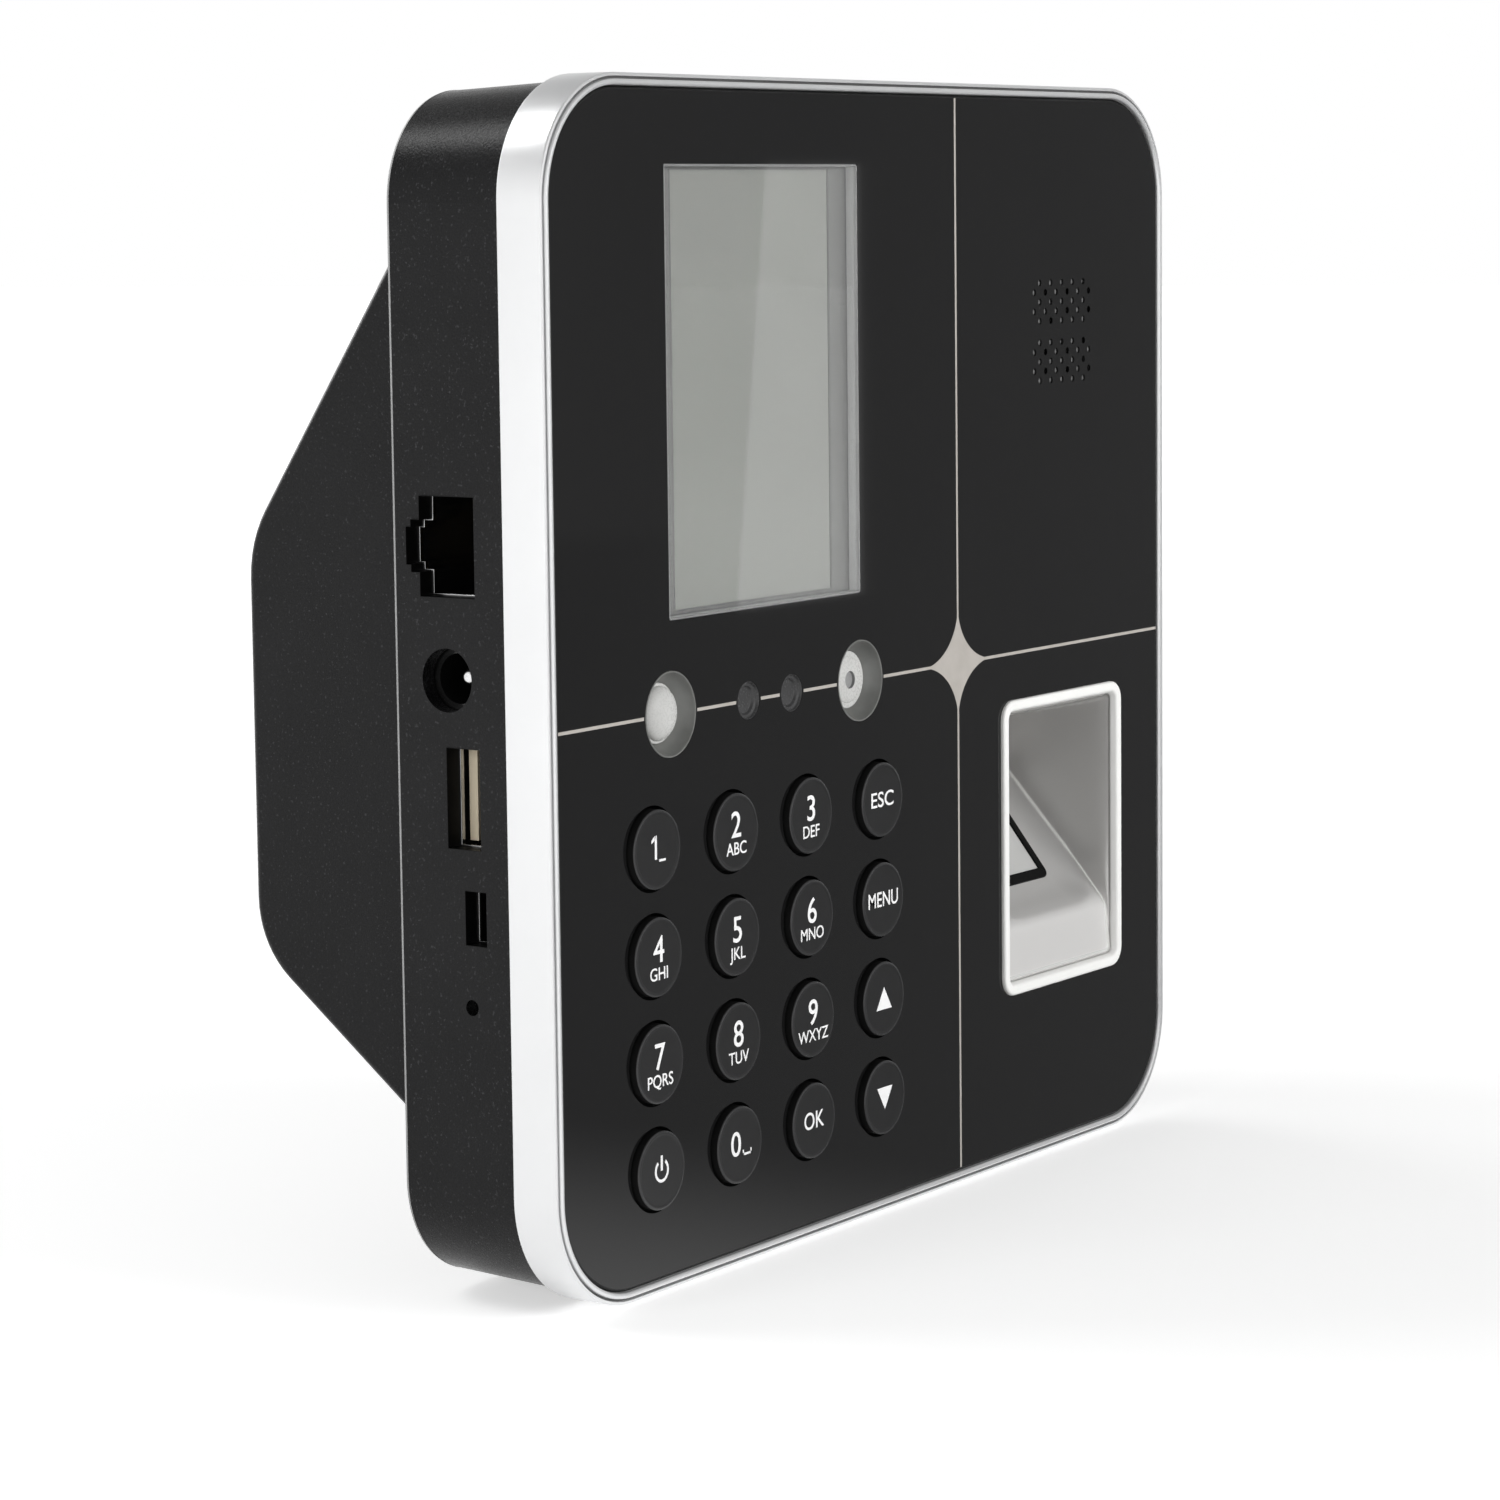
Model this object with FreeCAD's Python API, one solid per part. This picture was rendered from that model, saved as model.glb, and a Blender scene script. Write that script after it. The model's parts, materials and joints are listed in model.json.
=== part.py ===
import FreeCAD, Part
import math
import os

# Fingerprint and face terminal for a wall, in millimetres.
#
# The case is drawn in its own face frame: X to the right, Y into the wall from the front of the bezel's
# rim, Z up from the middle of the face. write() then moves every piece so that the origin is the middle
# of the flat wall face on the rear pod, with the wall at Y = 0 and the front facing -Y.

V = FreeCAD.Vector

# Case
FACE_WIDTH = 152.0
FACE_HEIGHT = 152.0
FACE_CORNER = 15.5
BEZEL_RIM = 1.6
BEZEL_DEPTH = 6.9
BEAD_HEIGHT = 0.3
BEAD_SETBACK = 0.25
BEAD_ROUND = 0.24
RIB_WIDTH = 1.6
RIB_THICKNESS = 1.2
HOUSING_INSET = 0.8
HOUSING_LENGTH = 18.2
HOUSING_DRAFT = 0.76
HOUSING_WALL = 2.2
HOUSING_EDGE_ROUND = 0.6
COVER_THICKNESS = 2.0
COVER_RIM = 1.5
COVER_GAP = 0.2
LEDGE_WIDTH = 1.5
LEDGE_THICKNESS = 1.5
SEAT_CLEARANCE = 0.1

# Wall pod on the rear cover
WALL_FACE_DEPTH = 49.5
POD_INSET = 2.4
POD_TOP_AT_COVER = 54.5
POD_TOP_AT_WALL = 18.6
POD_BOTTOM_AT_COVER = -52.3
POD_BOTTOM_AT_WALL = -33.4
POD_TOP_ROUND = 16.0
POD_BOTTOM_ROUND = 13.0
POD_SIDE_ROUND = 1.2
WALL_SCREW_SPACING_X = 100.0
WALL_SCREW_SPACING_Z = 26.0
WALL_SCREW_HOLE = 1.25
WALL_SCREW_DEPTH = 9.0
WALL_FACE_MIDDLE = -6.5

# Fascia and chassis
FASCIA_RECESS = 0.4
FASCIA_THICKNESS = 2.0
FASCIA_GAP = 0.15
FASCIA_CHAMFER = 0.25
CHASSIS_THICKNESS = 2.1

# Screen
SCREEN_LEFT_MARGIN = 25.5
SCREEN_Z = 36.75
SCREEN_WIDTH = 43.9
SCREEN_HEIGHT = 56.5
WINDOW_CLEARANCE = 0.05
PANEL_SHIFT_X = -1.05
PANEL_VIEW_WIDTH = 40.6
PANEL_VIEW_HEIGHT = 55.4
PANEL_THICKNESS = 1.2
MODULE_WIDTH = 50.0
MODULE_BOTTOM_BORDER = 4.0
MODULE_TOP_BORDER = 2.0
CHASSIS_CLEARANCE = 0.3
CABLE_THICKNESS = 0.3
SCREEN_CABLE_WIDTH = 18.0
SCREEN_CABLE_BELOW_TOP = 8.0
READER_CABLE_WIDTH = 8.0
CABLE_CLEARANCE = 0.5
CABLE_LIFT = 1.2
CABLE_LAP = 8.0

# Keypad
KEY_ROWS = (
    ("key_1", "key_2", "key_3", "key_esc"),
    ("key_4", "key_5", "key_6", "key_menu"),
    ("key_7", "key_8", "key_9", "key_up"),
    ("key_power", "key_0", "key_ok", "key_down"),
)
KEY_LEFT_MARGIN = 21.03
KEY_FIRST_Z = -19.62
KEY_PITCH_X = 17.32
KEY_PITCH_Z = 13.53
KEY_RADIUS = 5.03
KEY_PROUD = 0.9
KEY_EDGE_ROUND = 0.3
KEY_GAP = 0.45
KEY_FLANGE = 0.85
KEY_FLANGE_THICKNESS = 0.8
KEY_FLANGE_GAP = 0.1
KEY_SIDE_GAP = 0.35
KEY_STEM_RADIUS = 2.0
KEY_TRAVEL = 0.7
PRESS_GAP = 0.02
SWITCH_SIZE = 4.5
SWITCH_THICKNESS = 0.8
ACTUATOR_RADIUS = 1.1
ACTUATOR_HEIGHT = 0.5
KEYPAD_BOARD_DEPTH = 6.2
KEYPAD_BOARD_MARGIN = 4.0

# Lamps and cameras
LAMP_Z = -3.2
LAMP_LEFT_MARGIN = 25.5
LAMP_SPACING = 43.6
LAMP_MOUTH_RADIUS = 5.45
LAMP_THROAT_RADIUS = 3.85
LAMP_CONE_DEPTH = 2.1
LAMP_LIP = 0.08
LAMP_FLANGE = 1.1
LAMP_FLANGE_THICKNESS = 1.0
LENS_THICKNESS = 0.9
LENS_HEIGHT = (1.2, 0.4)
LENS_DIMPLE_RADIUS = 1.3
LENS_DIMPLE_DEPTH = 0.3
LED_SIZE = 3.5
LED_HEIGHT = 0.9
CAMERA_LEFT_MARGIN = 42.7
CAMERA_SPACING = 9.95
CAMERA_RADIUS = 2.5
CAMERA_WINDOW_RECESS = 0.8
CAMERA_WINDOW_FLANGE = 0.9
CAMERA_WINDOW_FLANGE_THICKNESS = 0.6
CAMERA_BARREL_RADIUS = 2.8
CAMERA_BARREL_LENGTH = 1.5
CAMERA_BASE_SIZE = 8.0
CAMERA_BASE_THICKNESS = 1.2
LAMP_BOARD_HEIGHT = 11.5
LAMP_BOARD_MARGIN = 7.0

# Fingerprint reader
READER_RIGHT_MARGIN = 30.0
READER_Z = -30.85
READER_WIDTH = 33.5
READER_HEIGHT = 42.1
READER_CORNER = 2.8
READER_RIM = 2.1
READER_RIM_PROUD = 0.6
READER_RIM_ROUND = 0.45
READER_OVERLAP = 0.8
READER_WALL = 1.5
READER_FIT = 0.15
LEDGE_DEPTH = 1.0
LEDGE_END_DEPTH = 1.5
LEDGE_HEIGHT = 7.2
FLOOR_ANGLE = 37.95
CEILING_ANGLE = 11.3
SIDE_ANGLE = 6.85
RECESS_ROUND = 1.2
RECESS_DEEP_ROUND = 3.0
DISH_DEPTH = 1.5
DISH_MARGIN = 4.6
SENSOR_FROM_LEDGE = 6.85
SENSOR_WIDTH = 14.8
SENSOR_HEIGHT = 19.0
SENSOR_CORNER = 1.2
SENSOR_LEAST_CORNER = 0.2
SEAL_WIDTH = 1.1
SEAL_THICKNESS = 1.5
SENSOR_GAP = 0.1
PRISM_STRAIGHT = 1.5
PRISM_APEX = 7.5
MODULE_MARGIN = 2.6
MODULE_LENGTH = 14.0
MODULE_WALL = 1.4
READER_COLLAR = 1.6
HOOK_PROUD = 0.7
HOOK_LENGTH = 1.6
HOOK_HEIGHT = 6.0

# Speaker
SPEAKER_RIGHT_MARGIN = 29.35
SPEAKER_GROUP_Z = (45.8, 37.4)
HOLE_RADIUS = 0.47
HOLE_PITCH_X = 3.05
HOLE_PITCH_Z = 1.34
HOLE_ROWS = (5, 6, 5, 6, 5)
CLOTH_THICKNESS = 0.3
CLOTH_MARGIN = 1.6
SPEAKER_RADIUS = 14.0
BASKET_WALL = 0.8
SPEAKER_LENGTH = 5.0
CONE_THICKNESS = 0.4
CONE_DEPTH = 1.6
CONE_CAP_RADIUS = 4.0
MAGNET_RADIUS = 7.0
MAGNET_LENGTH = 3.0

# Main board and its sockets
BOARD_THICKNESS = 1.6
MAIN_BOARD_DEPTH = 8.6
KEYPAD_BOARD_THICKNESS = 1.2
BOARD_TO_READER = 3.25
BOARD_TOP_MARGIN = 30.0
BOARD_BOTTOM_MARGIN = 17.5
CHIP_FROM_RIGHT = 32.0
PROCESSOR_SIZE = 18.0
PROCESSOR_BOTTOM = 4.0
MEMORY_WIDTH = 14.0
MEMORY_HEIGHT = 10.0
MEMORY_BOTTOM = -16.0
CHIP_HEIGHT = 1.2
CONNECTOR_DEPTH = 4.0
SOCKET_CLEARANCE = 0.1
NETWORK_Z = 18.9
NETWORK_WIDTH = 16.0
NETWORK_LENGTH = 21.3
NETWORK_TOP_WALL = 0.5
NETWORK_OPENING_START = 1.7
NETWORK_OPENING_DEPTH = 8.5
NETWORK_OPENING_WIDTH = 12.4
NETWORK_STEP_1 = 1.35
NETWORK_STEP_1_WIDTH = 6.5
NETWORK_STEP_2 = 0.75
NETWORK_STEP_2_WIDTH = 4.7
NETWORK_POCKET = 13.5
NETWORK_POCKET_INSET = 0.25
CONTACT_COUNT = 8
CONTACT_SETBACK = 4.5
CONTACT_PITCH = 1.02
CONTACT_WIDTH = 0.45
CONTACT_THICKNESS = 0.35
CONTACT_RISE = 1.2
DC_Z = 2.55
DC_HEIGHT = 6.4
DC_HOLE_RADIUS = 3.94
DC_BODY_WIDTH = 9.0
DC_BODY_LENGTH = 14.0
DC_BORE_RADIUS = 3.15
DC_BORE_LENGTH = 9.5
DC_PIN_RADIUS = 1.05
DC_PIN_SETBACK = 1.4
USB_Z = -11.93
USB_HEIGHT = 4.0
USB_OPENING_DEPTH = 5.2
USB_OPENING_WIDTH = 12.5
USB_SHELL = 0.3
USB_LENGTH = 14.0
USB_BLOCK_LENGTH = 3.5
TONGUE_THICKNESS = 1.3
TONGUE_OFFSET = 1.35
TONGUE_WIDTH = 11.2
TONGUE_SETBACK = 0.9
MINI_Z = -26.6
MINI_HEIGHT = 2.43
MINI_OPENING_DEPTH = 3.35
MINI_OPENING_WIDTH = 6.8
MINI_LENGTH = 9.0
MINI_POCKET = 5.0
MINI_TONGUE_THICKNESS = 1.0
MINI_TONGUE_MARGIN = 0.9
RESET_Z = -37.7
RESET_HEIGHT = 3.3
RESET_HOLE_RADIUS = 1.0
RESET_PLUNGER_RADIUS = 1.5
RESET_PLUNGER_LENGTH = 1.6
RESET_TRAVEL = 0.3
RESET_FIT = 0.06
RESET_BODY_WIDTH = 6.0
RESET_BODY_LENGTH = 3.5
RESET_BODY_MARGIN = 1.3

# Battery
BATTERY_LENGTH = 50.0
BATTERY_WIDTH = 34.0
BATTERY_THICKNESS = 10.0
BATTERY_ROUND = 2.0

# Screws and bosses
CORNER_SCREW_INSET = 11.0
CORNER_BOSS_RADIUS = 3.6
CORNER_SCREW_RADIUS = 1.5
CORNER_HEAD_RADIUS = 2.75
CORNER_HEAD_HEIGHT = 2.0
CORNER_HEAD_RECESS = 0.5
CORNER_SCREW_LENGTH = 14.0
COVER_BOSS_HEIGHT = 2.1
BOARD_SCREW_INSET = 4.5
BOARD_BOSS_RADIUS = 2.8
BOARD_SCREW_RADIUS = 1.25
BOARD_HEAD_RADIUS = 2.4
BOARD_HEAD_HEIGHT = 1.6
BOARD_SCREW_GRIP = 3.0
SMALL_BOSS_RADIUS = 2.1
SMALL_SCREW_RADIUS = 0.9
SMALL_HEAD_RADIUS = 1.7
SMALL_HEAD_HEIGHT = 1.1
SMALL_SCREW_GRIP = 2.6
CROSS_LENGTH_FACTOR = 0.6
CROSS_WIDTH_FACTOR = 0.15
CLOSE_FIT = 0.02
HOLE_CLEARANCE = 0.2

# Smallest length that counts as a difference
TOLERANCE = 1e-4

# Planes and sizes that follow from the values above
HALF_WIDTH = FACE_WIDTH / 2
HALF_HEIGHT = FACE_HEIGHT / 2
FASCIA_BACK = FASCIA_RECESS + FASCIA_THICKNESS
CHASSIS_BACK = FASCIA_BACK + CHASSIS_THICKNESS
RIB_BACK = CHASSIS_BACK + RIB_THICKNESS
HOUSING_REAR = BEZEL_DEPTH + HOUSING_LENGTH
COVER_FRONT = HOUSING_REAR - COVER_THICKNESS
COVER_BORDER = HOUSING_INSET + HOUSING_DRAFT + COVER_RIM
BOARD_REAR = MAIN_BOARD_DEPTH + BOARD_THICKNESS
SOCKET_X = -HALF_WIDTH + HOUSING_INSET + HOUSING_WALL + HOUSING_DRAFT + SOCKET_CLEARANCE
OUTSIDE_X = -HALF_WIDTH - 1
SCREEN_X = -HALF_WIDTH + SCREEN_LEFT_MARGIN + SCREEN_WIDTH / 2
KEY_FIRST_X = -HALF_WIDTH + KEY_LEFT_MARGIN
LAMP_X = (-HALF_WIDTH + LAMP_LEFT_MARGIN, -HALF_WIDTH + LAMP_LEFT_MARGIN + LAMP_SPACING)
CAMERA_X = (-HALF_WIDTH + CAMERA_LEFT_MARGIN, -HALF_WIDTH + CAMERA_LEFT_MARGIN + CAMERA_SPACING)
READER_X = HALF_WIDTH - READER_RIGHT_MARGIN
SPEAKER_X = HALF_WIDTH - SPEAKER_RIGHT_MARGIN
FLOOR_RISE = math.tan(math.radians(FLOOR_ANGLE))
CEILING_FALL = math.tan(math.radians(CEILING_ANGLE))
SIDE_TAPER = math.tan(math.radians(SIDE_ANGLE))
MAIN_BOARD_LEFT = SOCKET_X + SEAT_CLEARANCE
MAIN_BOARD_RIGHT = READER_X - READER_WIDTH / 2 - BOARD_TO_READER
MAIN_BOARD_TOP = HALF_HEIGHT - BOARD_TOP_MARGIN
MAIN_BOARD_BOTTOM = -HALF_HEIGHT + BOARD_BOTTOM_MARGIN
PANEL_X = SCREEN_X + PANEL_SHIFT_X


def outline(half_width, half_height, radius, depth, x=0.0, z=0.0):
    """Closed rounded rectangle that faces along Y at one depth."""
    a = half_width - radius
    b = half_height - radius
    lean = radius * math.sqrt(0.5)
    corners = []
    for sx, sz in ((1, 1), (-1, 1), (-1, -1), (1, -1)):
        side = V(x + sx * half_width, depth, z + sz * b)
        middle = V(x + sx * (a + lean), depth, z + sz * (b + lean))
        end = V(x + sx * a, depth, z + sz * half_height)
        corners.append((side, middle, end) if sx == sz else (end, middle, side))
    edges = []
    for corner, following in zip(corners, corners[1:] + corners[:1]):
        edges.append(Part.Arc(*corner).toShape())
        if corner[-1].distanceToPoint(following[0]) > TOLERANCE:
            edges.append(Part.LineSegment(corner[-1], following[0]).toShape())
    return Part.Wire(edges)


def slab(half_width, half_height, radius, front, back, x=0.0, z=0.0):
    """Rounded rectangular plate between two depths."""
    return Part.Face(outline(half_width, half_height, radius, front, x, z)).extrude(V(0, back - front, 0))


def inset_slab(inset, front, back):
    """Plate with the outline of the face moved in by inset."""
    return slab(HALF_WIDTH - inset, HALF_HEIGHT - inset, FACE_CORNER - inset, front, back)


def box(x0, x1, y0, y1, z0, z1):
    return Part.makeBox(x1 - x0, y1 - y0, z1 - z0, V(x0, y0, z0))


def rod_y(x, z, front, back, radius):
    return Part.makeCylinder(radius, back - front, V(x, front, z), V(0, 1, 0))


def rod_x(start, end, y, z, radius):
    return Part.makeCylinder(radius, end - start, V(start, y, z), V(1, 0, 0))


def cut_all(shape, tools):
    for tool in tools:
        shape = shape.cut(tool)
    return shape


def join(shapes):
    """One solid from pieces that touch or overlap."""
    whole = shapes[0]
    for shape in shapes[1:]:
        whole = whole.fuse(shape)
    return whole.removeSplitter()


def edges_at_depth(shape, depth):
    """Edges that lie flat in the plane at one depth."""
    return [
        e for e in shape.Edges
        if abs(e.BoundBox.YMin - depth) < TOLERANCE and abs(e.BoundBox.YMax - depth) < TOLERANCE
    ]


def write(name, shape):
    """Move a piece from the face frame to the wall frame and save it under its node's name."""
    placed = shape.copy()
    placed.translate(V(0, -WALL_FACE_DEPTH, -WALL_FACE_MIDDLE))
    placed.exportStep(f"parts/{name}.step")


def key_centres():
    """Name, X and Z of each key, row by row."""
    return [
        (name, KEY_FIRST_X + KEY_PITCH_X * column, KEY_FIRST_Z - KEY_PITCH_Z * row)
        for row, names in enumerate(KEY_ROWS)
        for column, name in enumerate(names)
    ]


def corner_screw_centres():
    x = HALF_WIDTH - CORNER_SCREW_INSET
    z = HALF_HEIGHT - CORNER_SCREW_INSET
    return [(sx * x, sz * z) for sx in (-1, 1) for sz in (-1, 1)]


def board_screw_centres():
    xs = (MAIN_BOARD_LEFT + BOARD_SCREW_INSET, MAIN_BOARD_RIGHT - BOARD_SCREW_INSET)
    zs = (MAIN_BOARD_BOTTOM + BOARD_SCREW_INSET, MAIN_BOARD_TOP - BOARD_SCREW_INSET)
    return [(x, z) for x in xs for z in zs]


def keypad_screw_centres():
    """Four screws of the keypad board, each between four keys."""
    columns = len(KEY_ROWS[0])
    rows = len(KEY_ROWS)
    xs = (KEY_FIRST_X + 0.5 * KEY_PITCH_X, KEY_FIRST_X + (columns - 1.5) * KEY_PITCH_X)
    zs = (KEY_FIRST_Z - 0.5 * KEY_PITCH_Z, KEY_FIRST_Z - (rows - 1.5) * KEY_PITCH_Z)
    return [(x, z) for x in xs for z in zs]


def lamp_screw_centres():
    """Two screws of the lamp board, each halfway between a lamp and the camera beside it."""
    return [((lamp + camera) / 2, LAMP_Z) for lamp, camera in zip(LAMP_X, CAMERA_X)]


def small_screw_centres():
    return keypad_screw_centres() + lamp_screw_centres()


def wall_screw_centres():
    x = WALL_SCREW_SPACING_X / 2
    z = WALL_SCREW_SPACING_Z / 2
    return [(sx * x, WALL_FACE_MIDDLE + sz * z) for sx in (-1, 1) for sz in (-1, 1)]


# Case shells

def front_bezel():
    """Silver rim: a band with a raised bead in front and a rib inside that the chassis clamps."""
    band = inset_slab(0, BEAD_HEIGHT, BEZEL_DEPTH)
    band = band.makeFillet(BEAD_ROUND / 2, edges_at_depth(band, BEAD_HEIGHT))
    bead = inset_slab(BEAD_SETBACK, 0, BEZEL_DEPTH)
    bead = bead.cut(inset_slab(BEZEL_RIM, -1, BEZEL_DEPTH + 1))
    bead = bead.makeFillet(BEAD_ROUND, edges_at_depth(bead, 0))
    rib = inset_slab(BEZEL_RIM / 2, CHASSIS_BACK, RIB_BACK).cut(
        inset_slab(BEZEL_RIM + RIB_WIDTH, CHASSIS_BACK - 1, RIB_BACK + 1)
    )
    return join([band.cut(inset_slab(BEZEL_RIM, -1, BEZEL_DEPTH + 1)), bead, rib])


def housing_shape(wall, front, back):
    """Side housing's drafted block with its walls moved in by wall."""
    def at(depth):
        draft = HOUSING_DRAFT * (depth - BEZEL_DEPTH) / HOUSING_LENGTH
        inset = HOUSING_INSET + draft + wall
        return outline(HALF_WIDTH - inset, HALF_HEIGHT - inset, FACE_CORNER - inset, depth)
    return Part.makeLoft([at(front), at(back)], True, True)


def network_opening(start, end, shrink):
    """Stepped opening of a network socket with a latch: one box and two smaller steps towards the rear."""
    half = NETWORK_OPENING_WIDTH / 2 - shrink
    low = BOARD_REAR + NETWORK_OPENING_START + shrink
    high = BOARD_REAR + NETWORK_OPENING_START + NETWORK_OPENING_DEPTH - shrink
    step_1 = NETWORK_STEP_1_WIDTH / 2 - shrink
    step_2 = NETWORK_STEP_2_WIDTH / 2 - shrink
    return join([
        box(start, end, low, high, NETWORK_Z - half, NETWORK_Z + half),
        box(start, end, low, high + NETWORK_STEP_1, NETWORK_Z - step_1, NETWORK_Z + step_1),
        box(start, end, low, high + NETWORK_STEP_1 + NETWORK_STEP_2, NETWORK_Z - step_2, NETWORK_Z + step_2),
    ])


def side_box(start, end, height, thickness, z, width):
    """Box through the side wall, centred at a height above the main board."""
    y = BOARD_REAR + height
    return box(start, end, y - thickness / 2, y + thickness / 2, z - width / 2, z + width / 2)


def side_housing():
    """Drafted ring between bezel and rear cover, with the socket openings in its left wall."""
    shell = housing_shape(0, BEZEL_DEPTH, HOUSING_REAR)
    shell = shell.makeFillet(HOUSING_EDGE_ROUND, edges_at_depth(shell, HOUSING_REAR))
    tongue = inset_slab(BEZEL_RIM + SEAT_CLEARANCE, RIB_BACK, BEZEL_DEPTH)
    ledge_front = COVER_FRONT - LEDGE_THICKNESS
    shell = cut_all(join([shell, tongue]), [
        inset_slab(HOUSING_INSET + HOUSING_WALL, RIB_BACK - 1, BEZEL_DEPTH),
        housing_shape(HOUSING_WALL, BEZEL_DEPTH, ledge_front),
        inset_slab(COVER_BORDER + LEDGE_WIDTH, ledge_front - 1, HOUSING_REAR + 1),
        inset_slab(COVER_BORDER, COVER_FRONT, HOUSING_REAR + 1),
    ])
    inside = SOCKET_X + 1
    notch = SOCKET_CLEARANCE + NETWORK_WIDTH / 2
    return cut_all(shell, [
        network_opening(OUTSIDE_X, inside, 0),
        box(SOCKET_X - SOCKET_CLEARANCE, inside + LEDGE_WIDTH, BOARD_REAR, COVER_FRONT,
            NETWORK_Z - notch, NETWORK_Z + notch),
        rod_x(OUTSIDE_X, inside, BOARD_REAR + DC_HEIGHT, DC_Z, DC_HOLE_RADIUS),
        side_box(OUTSIDE_X, inside, USB_HEIGHT, USB_OPENING_DEPTH, USB_Z, USB_OPENING_WIDTH),
        side_box(OUTSIDE_X, inside, MINI_HEIGHT, MINI_OPENING_DEPTH, MINI_Z, MINI_OPENING_WIDTH),
        rod_x(OUTSIDE_X, inside, BOARD_REAR + RESET_HEIGHT, RESET_Z, RESET_HOLE_RADIUS),
    ])


def pod_edge(depth, at_cover, at_wall, inset):
    """Height of the pod's sloping top or bottom at a depth, moved in by inset."""
    slope = (at_wall - at_cover) / (WALL_FACE_DEPTH - HOUSING_REAR)
    shift = inset * math.hypot(1, slope)
    return at_cover + slope * (depth - HOUSING_REAR) - math.copysign(shift, at_cover)


def pod_block(inset, front):
    """Solid of the pod from a front depth to the wall face, with every wall moved in by inset."""
    half = HALF_WIDTH - POD_INSET - inset
    wall = WALL_FACE_DEPTH - inset
    top = (POD_TOP_AT_COVER, POD_TOP_AT_WALL)
    bottom = (POD_BOTTOM_AT_COVER, POD_BOTTOM_AT_WALL)
    corners = [
        V(-half, front, pod_edge(front, *top, inset)),
        V(-half, wall, pod_edge(wall, *top, inset)),
        V(-half, wall, pod_edge(wall, *bottom, inset)),
        V(-half, front, pod_edge(front, *bottom, inset)),
    ]
    block = Part.Face(Part.makePolygon(corners + corners[:1])).extrude(V(2 * half, 0, 0))
    block = block.makeFillet(POD_TOP_ROUND - inset, [wall_face_edge(block, wall, max)])
    return block.makeFillet(POD_BOTTOM_ROUND - inset, [wall_face_edge(block, wall, min)])


def wall_face_edge(block, wall, pick):
    """Long edge of the pod's wall face that lies highest, with max, or lowest, with min."""
    long_edges = [e for e in edges_at_depth(block, wall) if e.BoundBox.XLength > block.BoundBox.XLength / 2]
    return pick(long_edges, key=lambda e: e.BoundBox.ZMax)


def flank_edges(block, front):
    """Edges around the pod's two flat flanks, without those on its open side."""
    half = block.BoundBox.XMax
    return [
        e for e in block.Edges
        if abs(abs(e.CenterOfMass.x) - half) < TOLERANCE and e.BoundBox.YMax > front + TOLERANCE
    ]


def rear_cover():
    """Rear plate with the wall pod, four screw bosses in front and four blind wall-screw holes behind."""
    border = COVER_BORDER + COVER_GAP
    plate = inset_slab(border, COVER_FRONT, HOUSING_REAR)
    pod = pod_block(0, HOUSING_REAR)
    pod = pod.makeFillet(POD_SIDE_ROUND, flank_edges(pod, HOUSING_REAR))
    boss_front = COVER_FRONT - COVER_BOSS_HEIGHT
    bosses = [rod_y(x, z, boss_front, COVER_FRONT, CORNER_BOSS_RADIUS) for x, z in corner_screw_centres()]
    cover = join([plate, pod] + bosses)
    cover = cover.cut(pod_block(HOUSING_WALL, boss_front - 1))
    inner_wall = WALL_FACE_DEPTH - HOUSING_WALL
    post_front = WALL_FACE_DEPTH - WALL_SCREW_DEPTH - HOUSING_WALL / 2
    posts = [rod_y(x, z, post_front, inner_wall, CORNER_BOSS_RADIUS) for x, z in wall_screw_centres()]
    cover = join([cover] + posts)
    head_seat = head_front()
    for x, z in corner_screw_centres():
        cover = cover.cut(rod_y(x, z, boss_front - 1, HOUSING_REAR, CORNER_SCREW_RADIUS + HOLE_CLEARANCE))
        cover = cover.cut(rod_y(x, z, head_seat, HOUSING_REAR + 1, CORNER_HEAD_RADIUS + HOLE_CLEARANCE))
    hole_front = WALL_FACE_DEPTH - WALL_SCREW_DEPTH
    for x, z in wall_screw_centres():
        cover = cover.cut(rod_y(x, z, hole_front, WALL_FACE_DEPTH + 1, WALL_SCREW_HOLE))
    return cover


def head_front():
    """Depth of the face that the corner screws' heads seat on."""
    return HOUSING_REAR - CORNER_HEAD_RECESS - CORNER_HEAD_HEIGHT


def fascia():
    """Glossy front plate with openings for the screen, keys, lamps, cameras, reader and speaker."""
    border = BEZEL_RIM + FASCIA_GAP
    plate = inset_slab(border, FASCIA_RECESS, FASCIA_BACK)
    plate = plate.makeChamfer(FASCIA_CHAMFER, edges_at_depth(plate, FASCIA_RECESS))
    front = FASCIA_RECESS - 1
    back = FASCIA_BACK + 1
    cuts = [box(SCREEN_X - SCREEN_WIDTH / 2, SCREEN_X + SCREEN_WIDTH / 2, front, back,
                SCREEN_Z - SCREEN_HEIGHT / 2, SCREEN_Z + SCREEN_HEIGHT / 2)]
    cuts += [rod_y(x, z, front, back, KEY_RADIUS + KEY_GAP) for _, x, z in key_centres()]
    cuts += [rod_y(x, LAMP_Z, front, back, LAMP_MOUTH_RADIUS + LAMP_LIP) for x in LAMP_X]
    cuts += [rod_y(x, LAMP_Z, front, back, CAMERA_RADIUS) for x in CAMERA_X]
    cuts.append(reader_opening(front, back))
    cuts += [rod_y(x, z, front, back, HOLE_RADIUS) for x, z in speaker_holes()]
    return plate.cut(Part.makeCompound(cuts))


def reader_opening(front, back):
    """Opening in fascia and chassis that the reader's tub passes through."""
    half_width = READER_WIDTH / 2 - READER_OVERLAP
    half_height = READER_HEIGHT / 2 - READER_OVERLAP
    return slab(half_width, half_height, READER_CORNER - READER_OVERLAP, front, back, READER_X, READER_Z)


def speaker_z():
    """Height of the speaker, midway between its two groups of holes."""
    return sum(SPEAKER_GROUP_Z) / len(SPEAKER_GROUP_Z)


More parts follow.
